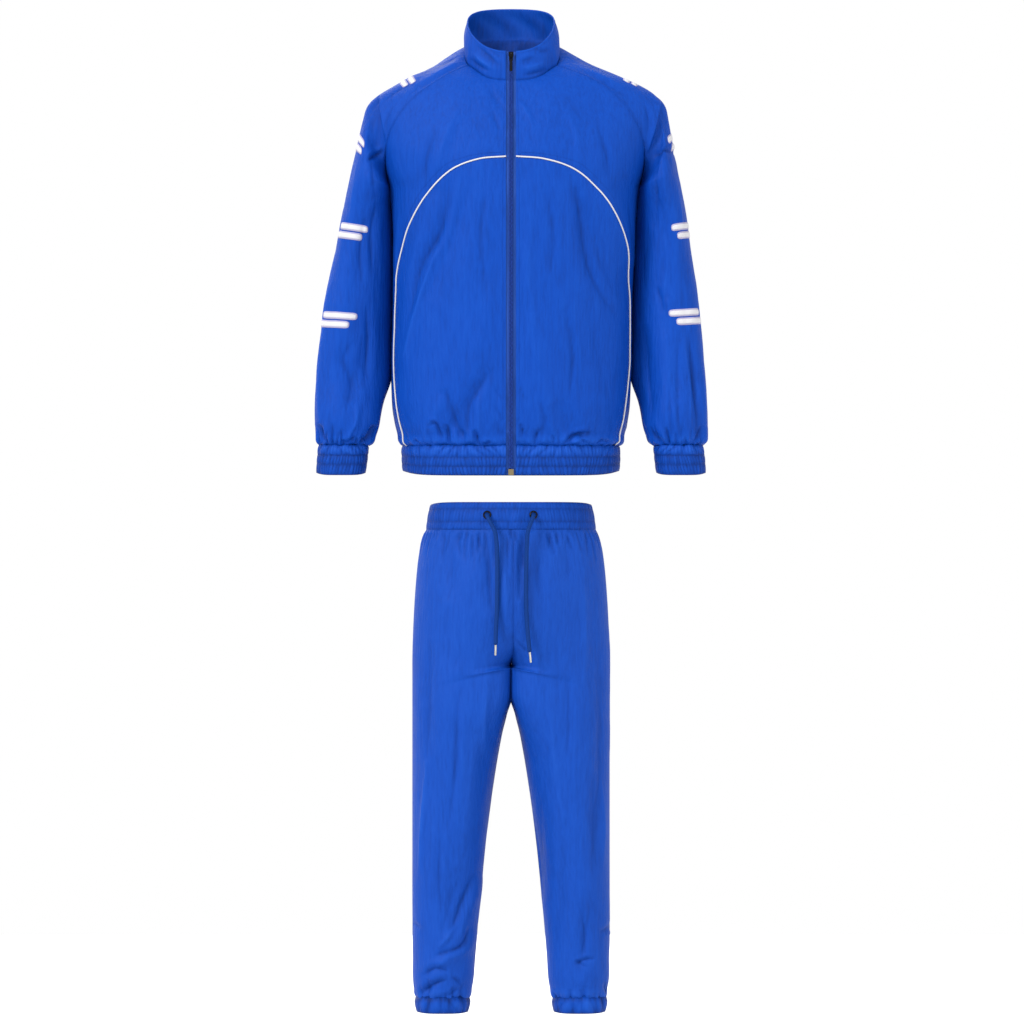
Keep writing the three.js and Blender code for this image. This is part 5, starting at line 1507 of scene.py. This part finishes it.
# gathered bands
# rows are shares of the depth where a band is stitched; fine and broad are widths of its gathers
PLAIN_BAND = dict(
    lean=0, curl=0, flare=0, droop=0, tuck=0, tuck_top=1, gather=2.0, seam_wave=1.0, rows=(),
    fine=(4.2, 8.0), broad=(11, 26), calm_at=(),
)
HEM = dict(
    PLAIN_BAND, top=-679.9, depth=53.1, swell=2, curl=8, columns=760, rows=(0.385, 0.705),
    fine=(4.6, 9.0),
)
CUFF = dict(
    PLAIN_BAND, top=-679, depth=53.5, swell=1, curl=4, flare=5, columns=260, rows=(0.33, 0.65),
)
WAIST = dict(
    PLAIN_BAND, top=-781, depth=49.5, swell=1, lean=8, droop=5, columns=560, rows=(0.24, 0.71),
    gather=1.3, calm_at=(-43, 40.5), seam_wave=0.0, tuck_top=0,
)
ANKLE = dict(
    PLAIN_BAND, top=-1678.5, depth=24.5, swell=0, lean=-4, curl=3, columns=190, tuck=5, gather=2.8,
    fine=(12, 34), seam_wave=0.8, broad=(22, 48),
)


def closed_outline(faces, at, side):
    """A row all round a sleeve or a leg."""
    u = np.linspace(0, 1, 80)
    whole = np.vstack([face(u, 0 * u + at)[1:] for face in faces])
    whole = np.vstack([whole, whole[:1]])
    whole[:, 0] *= side
    return whole


def mirrored_outline(front, back, at, closed):
    """A row all round the jacket or the trousers, from one half of it."""
    u = np.linspace(0, 1, 80)
    half = np.vstack([front(u, 0 * u + at), back(1 - u, 0 * u + at)[1:]])
    other = half[::-1] * (-1, 1, 1)
    whole = np.vstack([half, other[1:]])
    return np.vstack([whole, whole[:1]]) if closed else whole


def band(node, outline, sizes, seed):
    """Cloth gathered over elastic: rows of stitching draw it in."""
    name = f"{node}_cloth"
    rows, columns, depth = sizes["rows"], sizes["columns"], sizes["depth"]
    gather, seam_wave, tuck_top = sizes["gather"], sizes["seam_wave"], sizes["tuck_top"]
    closed = np.allclose(outline[0], outline[-1])
    line = evenly(outline, 1200)
    reach = np.linspace(0, path_length(line), len(line))
    middle = line.mean(0)
    stops = [0, *rows, 1]

    def place(s, t):
        d = s * reach[-1]
        p = read_path(line, reach, d)
        e = reach[-1] * 0.004
        ends = [v % reach[-1] if closed else np.clip(v, 0, reach[-1]) for v in (d + e, d - e)]
        ahead, behind = [read_path(line, reach, v) for v in ends]
        way = level_outward(ahead - behind, p - middle)
        closing = smooth(np.minimum(s, 1 - s) * reach[-1] / 9) if closed else 1.0
        fine = np.zeros(len(s))
        for k, (low, high) in enumerate(zip(stops, stops[1:])):
            inside = (t >= low) & (t <= high)
            share = (t - low) / (high - low)
            tuck = 0.25 + 0.75 * np.sin(np.pi * np.clip(share, 0, 1)) ** 0.6
            drift = (share - 0.5) * 4.0 * np.sin(d / 23.0 + k)
            gathers = gather * ripple(d + drift, seed + k, *sizes["fine"])
            if k == 0:
                slant = 4.5 * drift + 7 * np.sin(d / 41.0) * share
                deep = 3.8 * seam_wave * ripple(d + slant, seed + 31, *sizes["broad"])
                gathers += deep * (1 - 0.45 * share)
            bulge = 0.6 * np.sin(np.pi * np.clip(share, 0, 1)) ** 0.7
            fine = np.where(inside, gathers * tuck + bulge, fine)
        calm = closing * np.ones(len(s))
        for x in sizes["calm_at"]:
            calm *= np.where(p[:, 1] < 0, smooth((np.abs(p[:, 0] - x) - 9) / 12), 1)
        base = sizes["swell"] * np.sin(np.pi * t) - sizes["lean"] * (1 - t) - 1.2
        fine *= 1 - 0.6 * np.abs(way[:, 0]) ** 3
        at_top = np.exp(-((t * depth / 1.6) ** 2))
        base -= tuck_top * 2.4 * at_top
        rise = t * sizes["curl"] * np.abs(way[:, 0]) ** 4
        wave = seam_wave * (1 - t) ** 2 * 2.4 * (ripple(d, seed + 31, *sizes["broad"]) - 0.4)
        wave += tuck_top * 3.0 * at_top
        wave += sizes["tuck"] * np.exp(-((t * depth / 0.9) ** 2))
        droop = sizes["droop"] * (1 - t) ** 3 * np.abs(way[:, 0]) ** 6
        p[:, 0] += np.sign(middle[0]) * sizes["flare"] * t
        p[:, 2] = sizes["top"] - depth * t + rise - droop + wave * closing
        # the third value is painted shade in the troughs of the gathers and painted highlight on their crests
        return p + way * (base + fine * calm)[:, None], way, np.clip((fine - 0.85 * gather) / 2.1, -1, 1)

    obj = laid_grid(name, columns, max(14, int(depth / 1.75)), place, closed=closed, shell=1.3)
    finished(obj, "gathered_bands", [node])
    s = np.linspace(0.001, 0.999, columns * 2)
    for k, row in enumerate(rows):
        points, ways, _ = place(s, 0 * s + row)
        stitches(f"{name}_stitches_{k + 1}", points, ways, 2.4, 0.36)
    declare(name)


# trousers
THIGH_FILL = 36
PRESSED_FOOT = -1166
PRESSED_RISE = 40
PRESS = 7.0
PRESS_REACH = 30
OVERLAP = 0.45


def thigh_fill(u, at):
    """How far the front cloth stands forward beside the crotch, where it falls from the belly."""
    across = smooth(u / 0.12) * (1 - smooth((u - 0.08) / 0.46))
    down = smooth((at - 6.8) / 1.2) * (1 - smooth((at - 8.4) / 2.8))
    return THIGH_FILL * across * down


def thighs_together(points, side, at):
    """The two legs rest against each other just below the crotch."""
    pressed = smooth((points[:, 2] - PRESSED_FOOT) / PRESSED_RISE) * smooth((at - 7.2) * 1.5)
    inward = side * points[:, 0]
    near = np.exp(-((inward / PRESS_REACH) ** 2))
    pushed = np.maximum(inward - PRESS * pressed * near, -OVERLAP)
    points[:, 0] = np.where(at > 7.2, side * np.minimum(inward, pushed), points[:, 0])
    return points


def trousers():
    for side_name, side in SIDES.items():
        for name, face in (("front", LEG_FRONT_FACE), ("back", LEG_BACK_FACE)):

            def place(s, t, face=face, side=side):
                at = t * LEG_END
                points, ways, fold = face.cloth(s, at, side)
                points[:, 0] -= side * OVERLAP * np.exp(-((s / 0.012) ** 2)) * (at < 8.4)
                points[:, 2] += 4 * np.exp(-((at * TOP_ROW / 2) ** 2))
                if face is LEG_FRONT_FACE:
                    aside = smooth((at - 0.2) * 1.5) * smooth((7.0 - at) * 0.8)
                    points[:, 0] += 4.5 * np.exp(-((points[:, 0] / 40) ** 2)) * aside
                    points[:, 1] -= thigh_fill(s, at)
                return thighs_together(points, side, at), ways, fold

            columns, rows = (100, 320) if name == "front" else (70, 230)
            sewn(f"trouser_{name}_{side_name}", "trouser_cloth", columns, rows, place)


# zip
TOOTH_STEP = 2.3
TOOTH_ASIDE = 1.75


def zip_teeth():
    """Two rows of coil teeth along the front edge, on a narrow dark strip that fills the chain as painted
    shade between the teeth.
    """
    down = np.linspace(0, BODY_END, 200)
    front = np.stack([0 * down, CENTRE.read(down, "frontY"), CENTRE.read(down, "frontZ")], -1)
    share = np.linspace(1, 0.02, 20)
    rise = np.stack([0 * share, -80 + 6 * share - 3 * np.sin(np.pi * share), -22 + 53 * share], -1)
    line = np.vstack([rise, front, [(0, -124, -704), (0, -123.6, -721.5)]])
    line = line[line[:, 2] < 16]
    count = int(path_length(line) / TOOTH_STEP)
    steps = evenly(line, 2 * count)
    along = unit(np.gradient(steps, axis=0))
    ways = np.cross(along, (1, 0, 0))
    ways *= -np.sign(ways[:, 1:2])
    bm = bmesh.new()
    for k in range(1, 2 * count):
        side = 1 if k % 2 else -1
        middle = steps[k] + ways[k] * 0.2 + (side * TOOTH_ASIDE, 0, 0)
        bead(bm, middle, along[k], "ZY", (TOOTH_ASIDE, 1.1, 0.85))
    finished(object_from(bm, "zip_teeth"), "zip_coil")

    def strip(s, t):
        k = np.rint(t * 2 * count).astype(int)
        across = (s - 0.5) * 6.8
        points = steps[k] - ways[k] * (0.7 + 0.4 * np.abs(s - 0.5))[:, None]
        points[:, 0] = across
        return points, ways[k]

    # painted shade: a dark strip where the chain's gap lies in shadow
    gap_shade_strip = laid_grid("zip_chain_strip", 6, 2 * count, strip, shell=0.8)
    finished(gap_shade_strip, "zip_gap_shade", ["zip_chain"])


for side_name, side in SIDES.items():
    jacket_front(side_name, side)
    sleeve(side_name, side)
jacket_back()
bars()
collar()
band("hem_band", mirrored_outline(body_front, body_back, BODY_END, False), HEM, 41)
band("waistband", mirrored_outline(leg_front, leg_back, 0, True), WAIST, 51)
for side_name, side in SIDES.items():
    wrist = closed_outline([sleeve_plain], SLEEVE_END, side)
    ankle = closed_outline([leg_front, lambda u, at: leg_back(1 - u, at)], LEG_END, side)
    band(f"cuff_{side_name}", wrist, CUFF, 61 + side)
    band(f"ankle_band_{side_name}", ankle, ANKLE, 71 + side)
trousers()
zip_teeth()
NODE_LOOKS = {
    "zip_tape": "zip_tape",
    "zip_slider": "black_metal",
    "zip_pull": "black_metal",
    "zip_box": "zip_box",
    "eyelet": "black_metal",
}
for name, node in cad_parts.items():
    for start, look in NODE_LOOKS.items():
        if name.startswith(start):
            node.data.materials.clear()
            node.data.materials.append(LOOKS[look])


# studio
def studio():
    world = bpy.data.worlds.new("studio")
    bpy.context.scene.world = world
    world.use_nodes = True
    back = world.node_tree.nodes["Background"]
    back.inputs["Color"].default_value = (1, 1, 1, 1)
    back.inputs["Strength"].default_value = 1.0
    make_light("key", 3.0, 22, (56, 0, -46))
    make_light("fill", 1.35, 60, (66, 0, 42))
    make_light("rear", 1.6, 50, (-56, 0, 25))
    bm = bmesh.new()
    bmesh.ops.create_circle(bm, cap_ends=True, segments=96, radius=9)
    floor = object_from(bm, "floor")
    floor.data.transform(Matrix.Translation((0, 0, -1.79)))
    floor.data.materials.append(make_floor_material())
    bpy.context.scene.view_settings.view_transform = "Standard"


studio()
bpy.context.view_layer.update()
